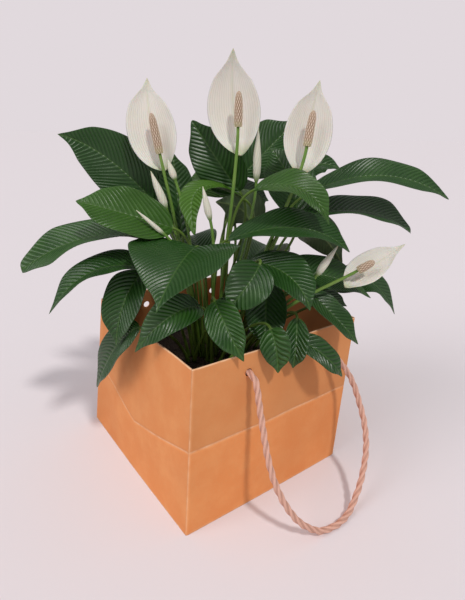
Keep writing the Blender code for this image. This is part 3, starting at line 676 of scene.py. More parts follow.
def bud_finish(colours):
    """White furled hood with lengthwise veins on a green stalk."""
    f = Finish("bud", Subsurface_Weight=0.08, Subsurface_Scale=0.003)
    furl, wrap = f.mark("furl"), f.mark("wrap")
    patches = f.noise(f.place(), 90.0)
    veins = (wrap * 9.0).off_half().band(0.3, 0.5)
    colour = f.mix((patches - 0.35).clamped() * 0.6, (0.70, 0.68, 0.58), (0.54, 0.56, 0.38))
    colour = f.mix(veins * 0.35, colour, (0.42, 0.46, 0.26))
    green = f.mix((patches - 0.3).clamped(), tuple(colours.stalk), (0.14, 0.27, 0.07))
    colour = f.mix(furl.band(0.0, 0.22), green, colour)
    colour = f.mix(furl.band(0.88, 1.0) * 0.5, colour, (0.4, 0.5, 0.2))
    return f.set(Base_Color=colour, Roughness=0.4 + patches * 0.15, Normal=f.bump(veins, 0.0002, 0.6))


def spadix_finish(colours):
    """Cream to tan florets with painted shade in the gaps between them."""
    f = Finish("spadix")
    floret, s = f.mark("floret"), f.mark("s")
    patches = f.noise(f.place(), 160.0, 2.0)
    # Painted shade: the gaps between florets are made dark brown.
    colour = f.mix(floret.band(0.1, 0.75), (0.16, 0.09, 0.045), tuple(colours.spadix))
    colour = f.mix(floret.band(0.75, 1.0) * 0.7, colour, (0.80, 0.70, 0.58))
    colour = f.mix((patches - 0.4).clamped() * 0.8, colour, (0.42, 0.27, 0.17))
    colour = f.mix(s.band(0.25, 0.0) * 0.4, colour, (0.5, 0.52, 0.25))
    grain = f.noise(f.place(), 2400.0, 1.0)
    return f.set(Base_Color=colour, Roughness=0.66 + grain * 0.15, Normal=f.bump(grain, 0.0002, 0.6))


def kraft_finish(pack):
    """Matte brown paper: fine fibres, faint mottling, paler worn folds with a painted highlight along the rim
    and corners, and painted shade above the crease and inside the bag.
    """
    f = Finish("kraft_paper")
    fold, inside = f.mark("fold"), f.mark("inside")
    place = f.place()
    mottle = f.noise(place, 34.0, 5.0, 0.65)
    cloud = f.noise(place, 7.0, 2.0)
    fibres = f.noise(f.stretched(place, 900.0, 900.0, 260.0), 1.0, 4.0, 0.7)
    specks = f.noise(place, 1500.0, 2.0)
    worn = f.noise(place, 130.0, 3.0)
    colour = f.mix(mottle.band(0.35, 0.7) * 0.6, tuple(pack.kraft), (0.84, 0.36, 0.13))
    colour = f.mix(cloud.band(0.4, 0.75) * 0.5, colour, (0.58, 0.18, 0.045))
    colour = f.mix(fibres.band(0.5, 0.75) * 0.45, colour, (0.70, 0.33, 0.13))
    colour = f.mix(specks.band(0.66, 0.8) * 0.25, colour, (0.36, 0.17, 0.08))
    # Painted shade: the paper above the crease, fully on the front panel and partly on the others, is made
    # browner and darker.
    colour = f.mix(f.mark("above") * (0.2 + cloud * 0.4), colour, (0.44, 0.20, 0.075))
    # Paler along folds: worn paper on the creases and bottom edge, and a painted highlight along the rim and
    # the corners.
    rubbed_and_highlit = (fold * (worn * 2.0 - 0.3)).clamped()
    colour = f.mix(rubbed_and_highlit * 0.9, colour, tuple(pack.kraft_worn_and_highlit))
    # Painted shade: the inside of the bag is darkened.
    colour = f.mix(inside * 0.25, colour, (0.46, 0.22, 0.11))
    height = fibres * 0.5 + specks * 0.3 + mottle * 0.8
    return f.set(Base_Color=colour, Roughness=0.72 + fibres * 0.2, Normal=f.bump(height, 0.00025, 0.6))


def rope_finish(pack):
    """Twisted paper strands: creases that follow the twist, with painted shade in the grooves."""
    f = Finish("paper_rope")
    groove, twist = f.mark("groove"), f.mark("twist")
    _, along, _ = f.parts(f.uv())
    creases = f.noise(f.vector(twist * 26.0, along * 60.0), 1.0, 3.0, 0.65)
    patches = f.noise(f.place(), 60.0)
    colour = f.mix((creases - 0.35).clamped(), tuple(pack.rope), (0.56, 0.27, 0.19))
    colour = f.mix(creases.band(0.6, 0.8) * 0.6, colour, (0.90, 0.66, 0.55))
    # Painted shade: the grooves between strands are darkened.
    colour = f.mix(groove.band(0.4, 1.0) * (0.25 + creases * 0.5), colour, (0.40, 0.18, 0.13))
    colour = f.mix((patches - 0.4).clamped() * 0.5, colour, (0.68, 0.36, 0.26))
    return f.set(Base_Color=colour, Roughness=0.7 + creases * 0.2, Normal=f.bump(creases, 0.0006, 0.8))


def pot_finish(pack):
    """Thin black moulded plastic with a faint grain and dusty wear."""
    f = Finish("nursery_pot")
    place = f.place()
    grain = f.noise(place, 1400.0, 2.0)
    dust = f.noise(place, 45.0, 4.0)
    _, _, z = f.parts(place)
    lines = (z * 900.0).off_half()
    colour = f.mix(dust.band(0.5, 0.75) * 0.5, tuple(pack.pot), (0.09, 0.075, 0.06))
    normal = f.bump(grain + lines * 0.4, 0.0001, 0.5)
    return f.set(Base_Color=colour, Roughness=0.42 + dust * 0.3, Normal=normal)


def soil_finish():
    """Dark peat in crumbs, with bark and root fibres."""
    f = Finish("potting_mix")
    place = f.place()
    crumbs = f.cells(place, 420.0)
    lumps = f.noise(place, 160.0, 4.0)
    fibres = f.noise(f.stretched(place, 300.0, 1500.0, 700.0), 1.0, 3.0)
    colour = f.mix(crumbs.clamped(), (0.055, 0.032, 0.02), (0.018, 0.011, 0.008))
    colour = f.mix(lumps.band(0.55, 0.8) * 0.7, colour, (0.13, 0.075, 0.04))
    colour = f.mix(fibres.band(0.68, 0.78) * 0.6, colour, (0.24, 0.15, 0.08))
    normal = f.bump(crumbs + lumps, 0.0012, 0.9)
    return f.set(Base_Color=colour, Roughness=0.88 + lumps * 0.1, Normal=normal)


def floor_finish(stage):
    """Plain pale floor."""
    f = Finish("floor", Roughness=0.85)
    cloud = f.noise(f.place(), 1.2, 1.0)
    colour = f.mix((cloud - 0.5).clamped() * 0.2, tuple(stage.floor), (0.755, 0.70, 0.735))
    return f.set(Base_Color=colour)


# ---------------------------------------------------------------- plant shapes

def flattened_rings(flat, columns):
    """Where the points of rings lie across them, -1 to 1, and how far above or below, -1 to 1.

    flat is 0 for a round ring and 1 for a thin one, whose points are spread more evenly across.
    """
    alpha = np.arange(columns) * tau / columns
    even = 1 - 2 * np.abs(1 - alpha / pi)
    return (1 - 0.75 * flat) * -np.cos(alpha) + 0.75 * flat * even, np.sin(alpha)


def leaf_surface(leaf, plant, seed):
    """Grid of a whole leaf, and its marks.

    Rings run up the petiole and on along the blade. Each ring is a flattened oval that is round on
    the petiole and thin and folded on the blade. The blade swells between side veins: a vein's
    phase is the distance along the midrib, less 0.9 of the distance from it and less a square term
    that bends the vein towards the tip, over the spacing of the veins, and a little unevenness.
    """
    count = plant.blade_stations
    blade_s = np.linspace(0, 0.995, count + 1)
    base, middle, tip = (np.array(p) * CM for p in (leaf.base, leaf.middle, leaf.tip))
    blade, blade_t = midrib(base, middle, tip, blade_s)
    stalk_s = np.linspace(0, 1, 30)[:-1]
    stalk, stalk_t = stem(root_of(leaf.name, leaf.base), base, blade_t[0], stalk_s)
    normals = carried(direction(*leaf.facing), blade_t, count // 2)
    normals = turned(normals, blade_t, radians(leaf.twist) * (blade_s - 0.5))
    stalk_n = across(normals[0], stalk_t)
    points = np.concatenate([stalk, blade])
    tangents = np.concatenate([stalk_t, blade_t])
    normals = np.concatenate([stalk_n, normals])
    sides = np.cross(tangents, normals)

    s = np.concatenate([np.zeros(len(stalk_s)), blade_s])[:, None]
    drawn_in = 1 - 0.4 * ease(s, 0.74, 0.95)
    half = leaf.width * CM / 2 * LEAF_SPREAD * outline(s, leaf.peak, 0.54) * drawn_in
    up_stalk = np.concatenate([stalk_s, np.ones(len(blade_s))])[:, None]
    radius = plant.petiole_radius * (1 - 0.2 * up_stalk) * (1 + 0.5 * ease(up_stalk, 0.12, 0.0))
    radius = radius * (1 - 0.85 * s)
    flat = np.clip(half / FLAT_FROM, 0, 1)
    width = np.sqrt(half ** 2 + radius ** 2)

    columns = 96
    u, rounding = flattened_rings(flat, columns)
    upper = np.broadcast_to(ease(rounding, -0.02, 0.02), u.shape)
    edge = np.sqrt(np.clip(1 - np.abs(u) ** 6, 0, 1))
    midrib_ridge = np.exp(-(u * width / 0.0011) ** 2) * (1 - 0.8 * s)
    thick = plant.blade_thickness * (0.5 * edge + (1 - upper) * 0.9 * midrib_ridge)
    half_thick = (1 - flat) * radius * np.abs(rounding) + flat * thick
    half_thick = half_thick * np.sign(np.round(rounding, 6))

    along = s * np.linalg.norm(np.diff(blade, axis=0), axis=1).sum()
    away = np.abs(u) * width
    phase = (along - 0.9 * away - 15 * away ** 2) / plant.vein_spacing
    phase = phase + 0.35 * ragged(s, u, seed, 3, 0.3, 0.8)
    swell = np.abs(np.sin(pi * phase)) ** 0.8 - 0.5
    spread = ease(np.abs(u), 0.02, 0.2) * ease(np.abs(u), 1.0, 0.75) * flat * ease(half, 0.004, 0.012)
    pleat = plant.pleat_depth * swell * spread
    rng = np.random.default_rng(seed)
    left, right = rng.uniform(0, tau, 2)
    ripples = np.where(u < 0, np.sin(tau * 2.2 * s + left), np.sin(tau * 1.9 * s + right))
    wave = 0.06 * flat * half * np.abs(u) ** 2 * ripples * ease(s, 0.0, 0.2)
    groove = -0.25 * plant.blade_thickness * np.exp(-(u * width / 0.0012) ** 2) * flat
    lift = flat * width * (0.22 * np.sqrt(u ** 2 + 0.002) + 0.05 * u ** 2) + pleat + wave + groove
    out = width * u * np.sqrt(1 - (flat * 0.11) ** 2)
    rise = lift + half_thick
    grid = points[:, None] + out[..., None] * sides[:, None] + rise[..., None] * normals[:, None]
    tone, warmth = LEAF_TONES.get(leaf.name, (0.0, 0.0))
    tone += rng.uniform(-0.12, 0.12)
    marks = {"vein": phase, "blade": np.where(s > 0.3, 1, flat), "upper": upper, "from_midrib": away,
             "tone": tone, "warmth": warmth}
    return grid, stalk[0], tip, marks


def spathe_surface(flower, plant):
    """Grid of a spathe: thin folded rings along its midrib, cupped forwards, with its marks."""
    base, middle, tip = (np.array(p) * CM for p in (flower.base, flower.middle, flower.tip))
    facing = direction(*flower.facing)
    base = base - facing * (plant.stalk_radius * 1.3 + 0.0003)
    s = np.linspace(0, 0.995, 90)
    points, tangents = midrib(base, middle, tip, s)
    normals = carried(facing, tangents, len(s) // 2)
    sides = np.cross(tangents, normals)
    s = s[:, None]
    drawn_in = 1 - 0.45 * ease(s, 0.72, 0.95)
    half = flower.width * CM / 2 * SPATHE_SPREAD * outline(s, 0.42, 0.68) * drawn_in
    thick = 0.0009 * (1 - 0.6 * s)
    flat = np.clip(half / FLAT_FROM, 0, 1)
    width = np.sqrt(half ** 2 + thick ** 2)
    columns = 48
    u, rounding = flattened_rings(flat, columns)
    edge = np.sqrt(np.clip(1 - np.abs(u) ** 6, 0, 1))
    body = ((1 - flat) * thick * np.abs(rounding) + flat * thick / 2 * edge) * np.sign(np.round(rounding, 6))
    ribs = 0.0003 * np.cos(tau * 6.5 * u) * flat * ease(np.abs(u), 1.0, 0.7)
    midrib_ridge = -0.0005 * np.exp(-(u * width / 0.0012) ** 2) * (rounding < 0) * (1 - s)
    wave = 0.05 * half * u ** 2 * np.sin(tau * 1.4 * s + 3 * u + flower.width)
    lift = flat * width * (0.1 * np.sqrt(u ** 2 + 0.004) + 0.3 * u ** 2) + ribs * flat + wave * flat
    out = width * u * np.sqrt(1 - (flat * 0.05) ** 2)
    rise = lift + body + midrib_ridge
    grid = points[:, None] + out[..., None] * sides[:, None] + rise[..., None] * normals[:, None]
    back = np.broadcast_to(ease(rounding, 0.02, -0.02), u.shape)
    return grid, points[0], tip, {"u": u, "s": s, "back": back}


def spadix_surface(flower, plant):
    """Grid of a spadix: a blunt spike covered in florets, each the product of two sines that cross."""
    stipe, top = (np.array(p) * CM for p in (flower.stipe, flower.spadix))
    t = 1 - (1 - np.linspace(0, 0.999, 150)) ** 1.15
    points = stipe + t[:, None] * (top - stipe)
    length = np.linalg.norm(top - stipe)
    columns = 84
    girth = plant.spadix_radius * (1 - 0.25 * np.exp(-t * 9)) * (1 - 0.22 * t) * np.sqrt(1 - t ** 9)
    a = np.arange(columns)[None] / columns * 10
    b = (t * length / 0.0026)[:, None]
    floret = np.abs(np.sin(pi * (a + b / 2)) * np.sin(pi * (a - b / 2))) ** 0.5
    radius = girth[:, None] * (1 + 0.2 * (floret - 0.75))
    grid = tube(points, radius, columns)
    return grid, stipe, top, {"floret": floret, "s": t[:, None]}


def stalk_surface(root, end, axis, radius, rings=60):
    """Grid of a flower's stalk: a round tube along a cubic curve, a little thicker at its foot."""
    s = np.linspace(0, 1, rings)
    points, _ = stem(root, end, axis, s)
    return tube(points, radius * (1.15 - 0.35 * s), 16), points


def bud_surface(bud, plant):
    """Grid of a bud on its stalk. Round the hood the radius grows by a tenth and steps back at the
    overlap, which winds slowly up the bud."""
    base, tip = (np.array(p) * CM for p in (bud.base, bud.tip))
    axis = unit(tip - base)
    s = np.linspace(0, 1, 50)[:-1]
    stalk, _ = stem(root_of(bud.name, bud.base, 0.3), base, axis, s)
    t = np.linspace(0, 0.995, 70)
    points = np.concatenate([stalk, base + t[:, None] * (tip - base)])
    furl = np.concatenate([np.zeros(len(s)), t])
    thin = plant.stalk_radius * 0.75
    hood = plant.bud_radius * bud.girth * np.sin(pi * np.clip(furl, 0, 1) ** 0.72) ** 0.8 * (1 - 0.25 * furl)
    taper = thin * (1 - furl) + 0.0003 * furl
    radius = np.sqrt(taper ** 2 + hood ** 2)
    columns = 48
    angle = np.arange(columns)[None] / columns
    wrap = (angle - 0.55 * furl[:, None] + bud.girth) % 1.0
    step = (wrap - 0.5) * ease(wrap, 0.0, 0.05)
    radius = radius[:, None] * (1 + 0.16 * step * ease(furl, 0.04, 0.2)[:, None])
    return tube(points, radius, columns), stalk[0], tip, {"furl": furl[:, None], "wrap": wrap}


# ---------------------------------------------------------------- bag, rope, pot and soil shapes

def bag_wall(share, side, depth, height, paper):
    """Points of the bag's wall. side runs 0 to 4 round its panels from the front left corner, height
    goes up it, and depth is 0 on the outer skin and 1 on the inner one.

    A panel is a straight line between its corners. Each corner is rounded off, the middle of the
    wall stands out a little, creases are narrow dents, and the paper waves a little everywhere.
    """
    x0, x1 = (b + (r - b) * share for b, r in zip(BASE_X, RIM_X))
    y0, y1 = (b + (r - b) * share for b, r in zip(BASE_Y, RIM_Y))
    inset = paper * depth
    x0, x1, y0, y1 = x0 + inset, x1 - inset, y0 + inset, y1 - inset
    panel = np.floor(side).astype(int) % 4
    f = side - np.floor(side)
    corner_x = [x0, x1, x1, x0]
    corner_y = [y0, y0, y1, y1]
    start_x, start_y = np.choose(panel, corner_x), np.choose(panel, corner_y)
    end_x, end_y = np.choose((panel + 1) % 4, corner_x), np.choose((panel + 1) % 4, corner_y)
    x, y = start_x + (end_x - start_x) * f, start_y + (end_y - start_y) * f
    out_x, out_y = np.choose(panel, [0, 1, 0, -1]), np.choose(panel, [-1, 0, 1, 0])
    length = np.hypot(end_x - start_x, end_y - start_y)
    to_corner = np.minimum(f, 1 - f) * length
    corner_radius = 0.0022
    rounded = -np.clip(corner_radius - to_corner, 0, None) ** 2 / (2 * corner_radius)
    gusset = panel % 2
    crease_z = CREASE_HEIGHT - gusset * CREASE_DIP * (1 - np.abs(2 * f - 1))
    from_crease = height - crease_z
    dent = -0.0007 * np.exp(-(from_crease / 0.0013) ** 2) * ease(to_corner, 0.0, 0.006)
    stand = BULGE * np.sin(pi * f) * (0.25 + 0.75 * np.exp(-(from_crease / 0.05) ** 2))
    waves = 0.0005 * ragged(f * 1.5 + panel * 3.7, height * 9, 5, 7, 0.6, 2.2)
    waves = waves * ease(to_corner, 0.0, 0.03) * ease(height, 0.0, 0.02)
    push = rounded + dent + stand + waves
    # Folds that the finish pales: worn creases and bottom edge, and a painted highlight along the rim,
    # weighted 1.5, and along the corners.
    folds = np.broadcast_arrays(
        np.exp(-(from_crease / 0.0008) ** 2),
        np.exp(-(to_corner / 0.0009) ** 2) * 0.8,
        np.exp(-((BAG_HEIGHT - height) / 0.0007) ** 2) * 1.5,
        np.exp(-(height / 0.0012) ** 2),
    )
    fold = np.maximum.reduce(folds)
    grid = np.stack([x + out_x * push, y + out_y * push, np.broadcast_to(height, x.shape)], -1)
    # The last value marks the paper above the crease, fully on the front panel and at 0.35 elsewhere, for
    # painted shade in the finish.
    return grid, fold, ease(from_crease, -0.0015, 0.0005) * np.where(panel == 0, 1.0, 0.35)


def bag_surface(pack):
    """Grid of the bag: rings up its outside, over the rim, down its inside and in across the floor."""
    spots = np.linspace(0, 1, 85)[:-1]
    f = 0.5 * spots + 0.5 * (1 - np.cos(pi * spots)) / 2
    side = np.concatenate([f + k for k in range(4)])
    up = np.linspace(0, 1, 130) * BAG_HEIGHT
    near_crease = CREASE_HEIGHT + np.linspace(-0.03, 0.004, 30)
    heights = np.unique(np.round(np.concatenate([up, near_crease]), 5))
    depth = np.concatenate([np.zeros(len(heights)), [0.5], np.ones(len(heights))])
    z = np.concatenate([heights, [BAG_HEIGHT], np.maximum(heights[::-1], pack.paper)])
    share = (z / BAG_HEIGHT)[:, None]
    grid, fold, above = bag_wall(share, side[None], depth[:, None], z[:, None], pack.paper)
    middle = np.array([sum(BASE_X) / 2, sum(BASE_Y) / 2, 0])
    shrink = np.linspace(1, 0, 14)[:-1]
    under = middle + (grid[0][None] - middle) * shrink[::-1][:-1, None, None]
    over = middle + (grid[-1][None] - middle) * shrink[1:, None, None]
    over[..., 2] = pack.paper
    whole = np.concatenate([under, grid, over])
    fold = np.concatenate([np.zeros(under.shape[:2]), fold, np.zeros(over.shape[:2])])
    above = np.concatenate([np.zeros(under.shape[:2]), above, np.zeros(over.shape[:2])])
    # inside marks the inner skin and floor, which the finish darkens as painted shade.
    inside = np.concatenate([np.zeros(len(under)), depth > 0.75, np.ones(len(over))]).astype(float)
    centre_top = middle + np.array([0, 0, pack.paper])
    return whole, middle, centre_top, {"fold": fold, "above": above, "inside": inside[:, None]}


def strand_radius(angle, strands=3):
    """Outline of strands laid side by side round a middle, as a share of the rope's radius.

    Each strand is a circle; the outline is the nearest circle's far side. It is filled in where
    strands meet, so that the valley between them stays shallow.
    """
    turn = (angle % (tau / strands)) - pi / strands
    ratio = 1 / sin(pi / strands)
    strand = 1 / (1 + ratio)
    offset = strand * ratio
    circle = offset * np.cos(turn) + np.sqrt(np.clip(strand ** 2 - (offset * np.sin(turn)) ** 2, 0, None))
    return np.maximum(circle, STRAND_VALLEY), turn / (pi / strands)


def groove_depth(share):
    """1 at the bottom of the valley between strands, 0 on their crests."""
    return np.clip((STRAND_CREST - share) / (STRAND_CREST - STRAND_VALLEY), 0, 1)


def rope_surface(points, diameter, lay):
    """Grid of a twisted rope: the outline of its strands, turned steadily along its path."""
    columns = 48
    along = distance_along(points)
    twist = along / lay * tau
    angle = np.arange(columns)[None] * tau / columns
    share, across_strand = strand_radius(angle + np.zeros((len(points), 1)))
    grid = tube(points, diameter / 2 * share, columns, turn=twist)
    marks = {"groove": groove_depth(share), "twist": across_strand + np.floor(angle / (tau / 3)) * 3}
    return grid, marks


def turned_surface(profile, columns=96):
    """Grid turned about Z from a profile of (radius, height) points."""
    angle = np.arange(columns) * tau / columns
    profile = np.array(profile, float)
    r, z = profile[:, :1], profile[:, 1:]
    return np.stack([r * np.cos(angle), r * np.sin(angle), np.broadcast_to(z, (len(r), columns))], -1)


def subdivided(profile, steps):
    """A profile with extra points along each straight run."""
    profile = np.array(profile, float)
    t = np.linspace(0, 1, steps, endpoint=False)[:, None]
    runs = [a + (b - a) * t for a, b in zip(profile, profile[1:])]
    return np.concatenate(runs + [profile[-1:]])


# ---------------------------------------------------------------- operators

class PEACELILY_OT_rope(bpy.types.Operator):
    """Lay the twisted rope handle and tie its stopper knots"""

    bl_idname = "peacelily.rope"
    bl_label = "Rope Handle"

    def execute(self, context):
        pack = context.scene.peacelily_pack
        finish = rope_finish(pack)
        path = smooth_curve(np.array(ROPE_ROUTE) * 0.001, 0.0011)
        path[:, 2] = np.maximum(path[:, 2], pack.rope_diameter / 2)
        grid, marks = rope_surface(path, pack.rope_diameter, pack.rope_lay)
        rope = add_surface("rope_handle_twisted", grid, path[0], path[-1], marks)
        finish_piece(rope, finish, "rope_handle")
        for side in ("left", "right"):
            self.tie_knot(f"knot_{side}", finish)
        return {"FINISHED"}

    def tie_knot(self, node, finish):
        """A trefoil knot of a thinner rope: its middle line is the curve
        (sin t + 2 sin 2t, -1.1 sin 3t, cos t - 2 cos 2t), scaled to fit the node's box."""
        low, high = (np.array(corner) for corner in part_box(node))
        t = np.linspace(0, tau, 240, endpoint=False)
        x_line, z_line = np.sin(t) + 2 * np.sin(2 * t), np.cos(t) - 2 * np.cos(2 * t)
        line = np.stack([x_line, -np.sin(3 * t) * 1.1, z_line], 1)
        cord = 0.0019           # radius of the knot's rope
        scale = ((high - low) / 2 - cord).min() / 3
        line = (low + high) / 2 + line * scale
        tangents = unit(np.roll(line, -1, 0) - np.roll(line, 1, 0))
        sides = across(line - (low + high) / 2, tangents)
        ups = np.cross(tangents, sides)
        columns = 20
        round_rope = np.arange(columns)[None] * tau / columns
        angle = round_rope + t[:, None] * 5
        share, across_strand = strand_radius(round_rope + np.zeros((len(t), 1)))
        grid = (line[:, None] + (cord * share * np.cos(angle))[..., None] * sides[:, None]
                + (cord * share * np.sin(angle))[..., None] * ups[:, None])
        grid = np.concatenate([grid, grid[:1]])
        share = np.concatenate([share, share[:1]])
        twist = np.concatenate([across_strand, across_strand[:1]])
        knot = add_surface(node + "_tied", grid, marks={"groove": groove_depth(share), "twist": twist})
        merge_doubles(knot)
        return finish_piece(knot, finish, node)


class PEACELILY_OT_bag(bpy.types.Operator):
    """Fold the paper bag and punch the holes for its handles"""

    bl_idname = "peacelily.bag"
    bl_label = "Paper Bag"

    def execute(self, context):
        pack = context.scene.peacelily_pack
        grid, start, end, marks = bag_surface(pack)
        bag = add_surface("paper_bag_folded", grid, start, end, marks)
        cutters = [self.hole_cutter(x) for x in HOLE_XS]
        for cutter in cutters:
            cut = bag.modifiers.new("hole", "BOOLEAN")
            cut.operation, cut.solver, cut.object = "DIFFERENCE", "EXACT", cutter
        punched = bpy.data.meshes.new_from_object(bag.evaluated_get(context.evaluated_depsgraph_get()))
        bag.modifiers.clear()
        bag.data = punched
        for cutter in cutters:
            bpy.data.objects.remove(cutter)
        finish_piece(bag, kraft_finish(pack), "paper_bag")
        return {"FINISHED"}

    def hole_cutter(self, x):
        """A round bar along Y through both panels."""
        line = np.array([[x, -0.14, HOLE_HEIGHT], [x, 0.0, HOLE_HEIGHT], [x, 0.14, HOLE_HEIGHT]])
        grid = tube(line, np.full(3, HOLE_RADIUS), 32)
        return add_surface("hole_cutter", grid, line[0], line[-1])


class PEACELILY_OT_pot(bpy.types.Operator):
    """Turn the nursery pot and fill it with potting mix"""

    bl_idname = "peacelily.pot"
    bl_label = "Pot and Soil"

    def execute(self, context):
        pack = context.scene.peacelily_pack
        low, high = POT_LOW[2], POT_HIGH[2]
        rim = POT_HIGH[0]
        neck = rim - POT_LIP
        edge = 0.0012           # radius of the rim's rounded edges
        quarter = np.linspace(0, pi / 2, 6)
        roll = [(rim - edge + edge * cos(a), high - edge + edge * sin(a)) for a in quarter]
        inner = [(neck - POT_WALL + edge - edge * sin(a), high - edge + edge * cos(a)) for a in quarter]
        profile = subdivided([
            (POT_BASE_RADIUS - 0.002, low), (POT_BASE_RADIUS, low + 0.002), (neck, high - 2 * POT_LIP),
            (rim - 0.0004, high - POT_LIP), *roll, *inner,
            (POT_BASE_RADIUS - POT_WALL, low + POT_WALL + 0.001), (POT_BASE_RADIUS - 0.003, low + POT_WALL),
        ], 4)
        pot = add_surface("nursery_pot_moulded", turned_surface(profile), (0, 0, low), (0, 0, low + POT_WALL))
        finish_piece(pot, pot_finish(pack), "nursery_pot")
        self.fill(context)
        return {"FINISHED"}

    def fill(self, context):
        """Soil whose top is lumpy by a sum of waves."""
        rim = SOIL_HIGH[0]
        low = SOIL_LOW[2]
        bottom = POT_BASE_RADIUS - POT_WALL - 0.0006
        radii = np.linspace(1, 0, 60)[:-1]
        profile = [(bottom * r, low) for r in radii[::-1][::4]] + [(bottom, low), (rim, SOIL_TOP - 0.002)]
        profile += [(rim * r, SOIL_TOP - 0.001) for r in radii]
        grid = turned_surface(profile, 160)
        top = len(profile) - len(radii)
        x, y = grid[top:, :, 0], grid[top:, :, 1]
        lumps = 0.0007 * ragged(x, y, 3, 9, 30, 90) + 0.0004 * ragged(x, y, 4, 12, 120, 260)
        grid[top:, :, 2] += np.clip(lumps, -0.0022, 0.0009)
        soil = add_surface("soil_crumbly", grid, (0, 0, low), (0, 0, SOIL_TOP - 0.001))
        finish_piece(soil, soil_finish(), "soil")


class PEACELILY_OT_leaves(bpy.types.Operator):
    """Grow every leaf from the crown, petiole and blade in one"""

    bl_idname = "peacelily.leaves"
    bl_label = "Leaves"

    def execute(self, context):
        plant = context.scene.peacelily_plant
        finish = leaf_finish(context.scene.peacelily_colours)
        for seed, leaf in enumerate(LEAVES):
            grid, start, end, marks = leaf_surface(leaf, plant, seed)
            blade = add_surface(leaf.name + "_blade", grid, start, end, marks)
            finish_piece(blade, finish, leaf.name)
        return {"FINISHED"}


class PEACELILY_OT_flowers(bpy.types.Operator):
    """Open each flower: its stalk, its white spathe and its spadix"""

    bl_idname = "peacelily.flowers"
    bl_label = "Flowers"

    def execute(self, context):
        plant = context.scene.peacelily_plant
        colours = context.scene.peacelily_colours
        green, white, cream = stalk_finish(colours), spathe_finish(colours), spadix_finish(colours)
        for flower in FLOWERS:
            stipe, top = (np.array(p) * CM for p in (flower.stipe, flower.spadix))
            root = root_of(flower.name, flower.base)
            grid, line = stalk_surface(root, stipe, unit(top - stipe), plant.stalk_radius)
            stalk = add_surface(flower.name + "_stem", grid, line[0], line[-1])
            finish_piece(stalk, green, flower.name + "_stalk")
            hood = add_surface(flower.name + "_hood", *spathe_surface(flower, plant))
            finish_piece(hood, white, flower.name + "_spathe")
            spike = add_surface(flower.name + "_spike", *spadix_surface(flower, plant))
            finish_piece(spike, cream, flower.name + "_spadix")
        return {"FINISHED"}


class PEACELILY_OT_buds(bpy.types.Operator):
    """Furl each bud at the end of its stalk"""

    bl_idname = "peacelily.buds"
    bl_label = "Buds"

    def execute(self, context):
        plant = context.scene.peacelily_plant
        finish = bud_finish(context.scene.peacelily_colours)
        for bud in BUDS:
            piece = add_surface(bud.name + "_furled", *bud_surface(bud, plant))
            finish_piece(piece, finish, bud.name)
        return {"FINISHED"}


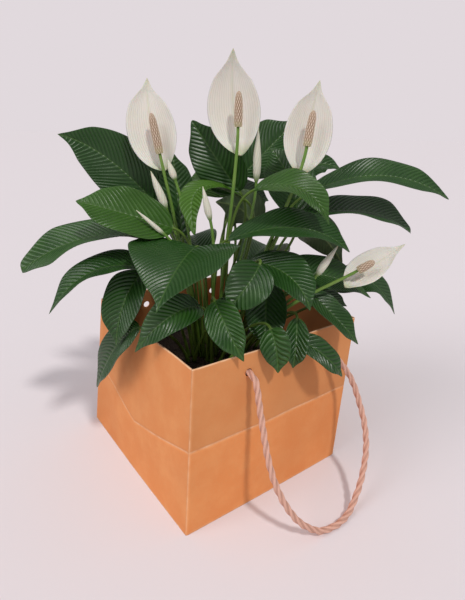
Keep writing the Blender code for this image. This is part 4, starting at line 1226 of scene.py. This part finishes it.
class PEACELILY_OT_stage(bpy.types.Operator):
    """Set the camera, the floor and the soft lights"""

    bl_idname = "peacelily.stage"
    bl_label = "Stage"

    def execute(self, context):
        scene = context.scene
        stage = scene.peacelily_stage
        self.camera(scene)
        scene.view_settings.view_transform = "Standard"
        floor = add_surface("floor", self.disc(), (0, 0, 0))
        floor.data.materials.append(floor_finish(stage))
        scene.world = self.sky(stage)
        self.sun(scene, "key", direction(-97, 53), radians(6), stage.key_strength, (1.0, 0.98, 0.94))
        self.sun(scene, "side", direction(172, 36), radians(35), stage.side_strength, (1.0, 0.97, 0.98))
        return {"FINISHED"}

    def disc(self):
        """A level round floor of 60 m radius, in rings that widen outwards."""
        return turned_surface([(r, 0.0) for r in np.geomspace(0.3, 60, 12)], 64)[:, ::-1]

    def sky(self, stage):
        """Even light from all round, which the camera sees as a plain backdrop near the floor's colour."""
        world = bpy.data.worlds.new("soft_sky")
        world.use_nodes = True
        tree = world.node_tree
        even = tree.nodes["Background"]
        even.inputs["Color"].default_value = (1.0, 0.985, 1.0, 1)
        even.inputs["Strength"].default_value = stage.sky
        seen = tree.nodes.new("ShaderNodeBackground")
        seen.inputs["Color"].default_value = (*stage.backdrop, 1)
        path, pick = tree.nodes.new("ShaderNodeLightPath"), tree.nodes.new("ShaderNodeMixShader")
        tree.links.new(path.outputs["Is Camera Ray"], pick.inputs[0])
        tree.links.new(even.outputs[0], pick.inputs[1])
        tree.links.new(seen.outputs[0], pick.inputs[2])
        tree.links.new(pick.outputs[0], tree.nodes["World Output"].inputs["Surface"])
        return world

    def camera(self, scene):
        """A camera that looks down on the bag's front left corner, held with a slight roll."""
        azimuth, elevation, roll = radians(-36.84), radians(20.4), radians(1.41)
        back = np.array([sin(azimuth) * cos(elevation), -cos(azimuth) * cos(elevation), sin(elevation)])
        right = np.array([cos(azimuth), sin(azimuth), 0])
        up = np.cross(back, right)
        rolled_right = cos(roll) * right + sin(roll) * up
        rolled_up = -sin(roll) * right + cos(roll) * up
        data = bpy.data.cameras.new("camera")
        data.lens = 27
        data.clip_start = 0.01
        camera = bpy.data.objects.new("camera", data)
        turn = Matrix([rolled_right, rolled_up, back]).transposed()
        camera.matrix_world = Matrix.Translation((-0.251, -0.373, 0.340)) @ turn.to_4x4()
        scene.collection.objects.link(camera)
        scene.camera = camera

    def sun(self, scene, name, back, spread, strength, colour):
        """A distant light from the direction of `back`, whose shadows soften with its spread."""
        data = bpy.data.lights.new(name, "SUN")
        data.angle, data.energy, data.color = spread, strength, colour
        lamp = bpy.data.objects.new(name, data)
        right = unit(np.cross([0, 0, 1], back))
        turn = Matrix([right, np.cross(back, right), back]).transposed()
        lamp.matrix_world = Matrix.Translation(back * 2) @ turn.to_4x4()
        scene.collection.objects.link(lamp)


class PEACELILY_PT_panel(bpy.types.Panel):
    """The peace lily's pieces and settings"""

    bl_idname = "PEACELILY_PT_panel"
    bl_label = "Peace Lily"
    bl_space_type = "VIEW_3D"
    bl_region_type = "UI"
    bl_category = "Peace Lily"

    def draw(self, context):
        for operator in OPERATORS:
            self.layout.operator(operator.bl_idname)
        for name, group in SETTINGS.items():
            box = self.layout.box()
            for key in group.__annotations__:
                box.prop(getattr(context.scene, name), key)


OPERATORS = [PEACELILY_OT_stage, PEACELILY_OT_rope, PEACELILY_OT_leaves, PEACELILY_OT_flowers,
             PEACELILY_OT_buds, PEACELILY_OT_bag, PEACELILY_OT_pot]
SETTINGS = {"peacelily_plant": PlantSettings, "peacelily_colours": PlantColours,
            "peacelily_pack": PackSettings, "peacelily_stage": StageSettings}


def register():
    for cls in (*SETTINGS.values(), *OPERATORS, PEACELILY_PT_panel):
        bpy.utils.register_class(cls)
    for name, group in SETTINGS.items():
        setattr(bpy.types.Scene, name, PointerProperty(type=group))


def unregister():
    for name in SETTINGS:
        delattr(bpy.types.Scene, name)
    for cls in reversed((*SETTINGS.values(), *OPERATORS, PEACELILY_PT_panel)):
        bpy.utils.unregister_class(cls)


def main():
    register()
    bpy.ops.peacelily.stage()
    bpy.ops.peacelily.rope()
    bpy.ops.peacelily.leaves()
    bpy.ops.peacelily.flowers()
    bpy.ops.peacelily.buds()
    bpy.ops.peacelily.bag()
    bpy.ops.peacelily.pot()


if __name__ == "__main__":
    main()
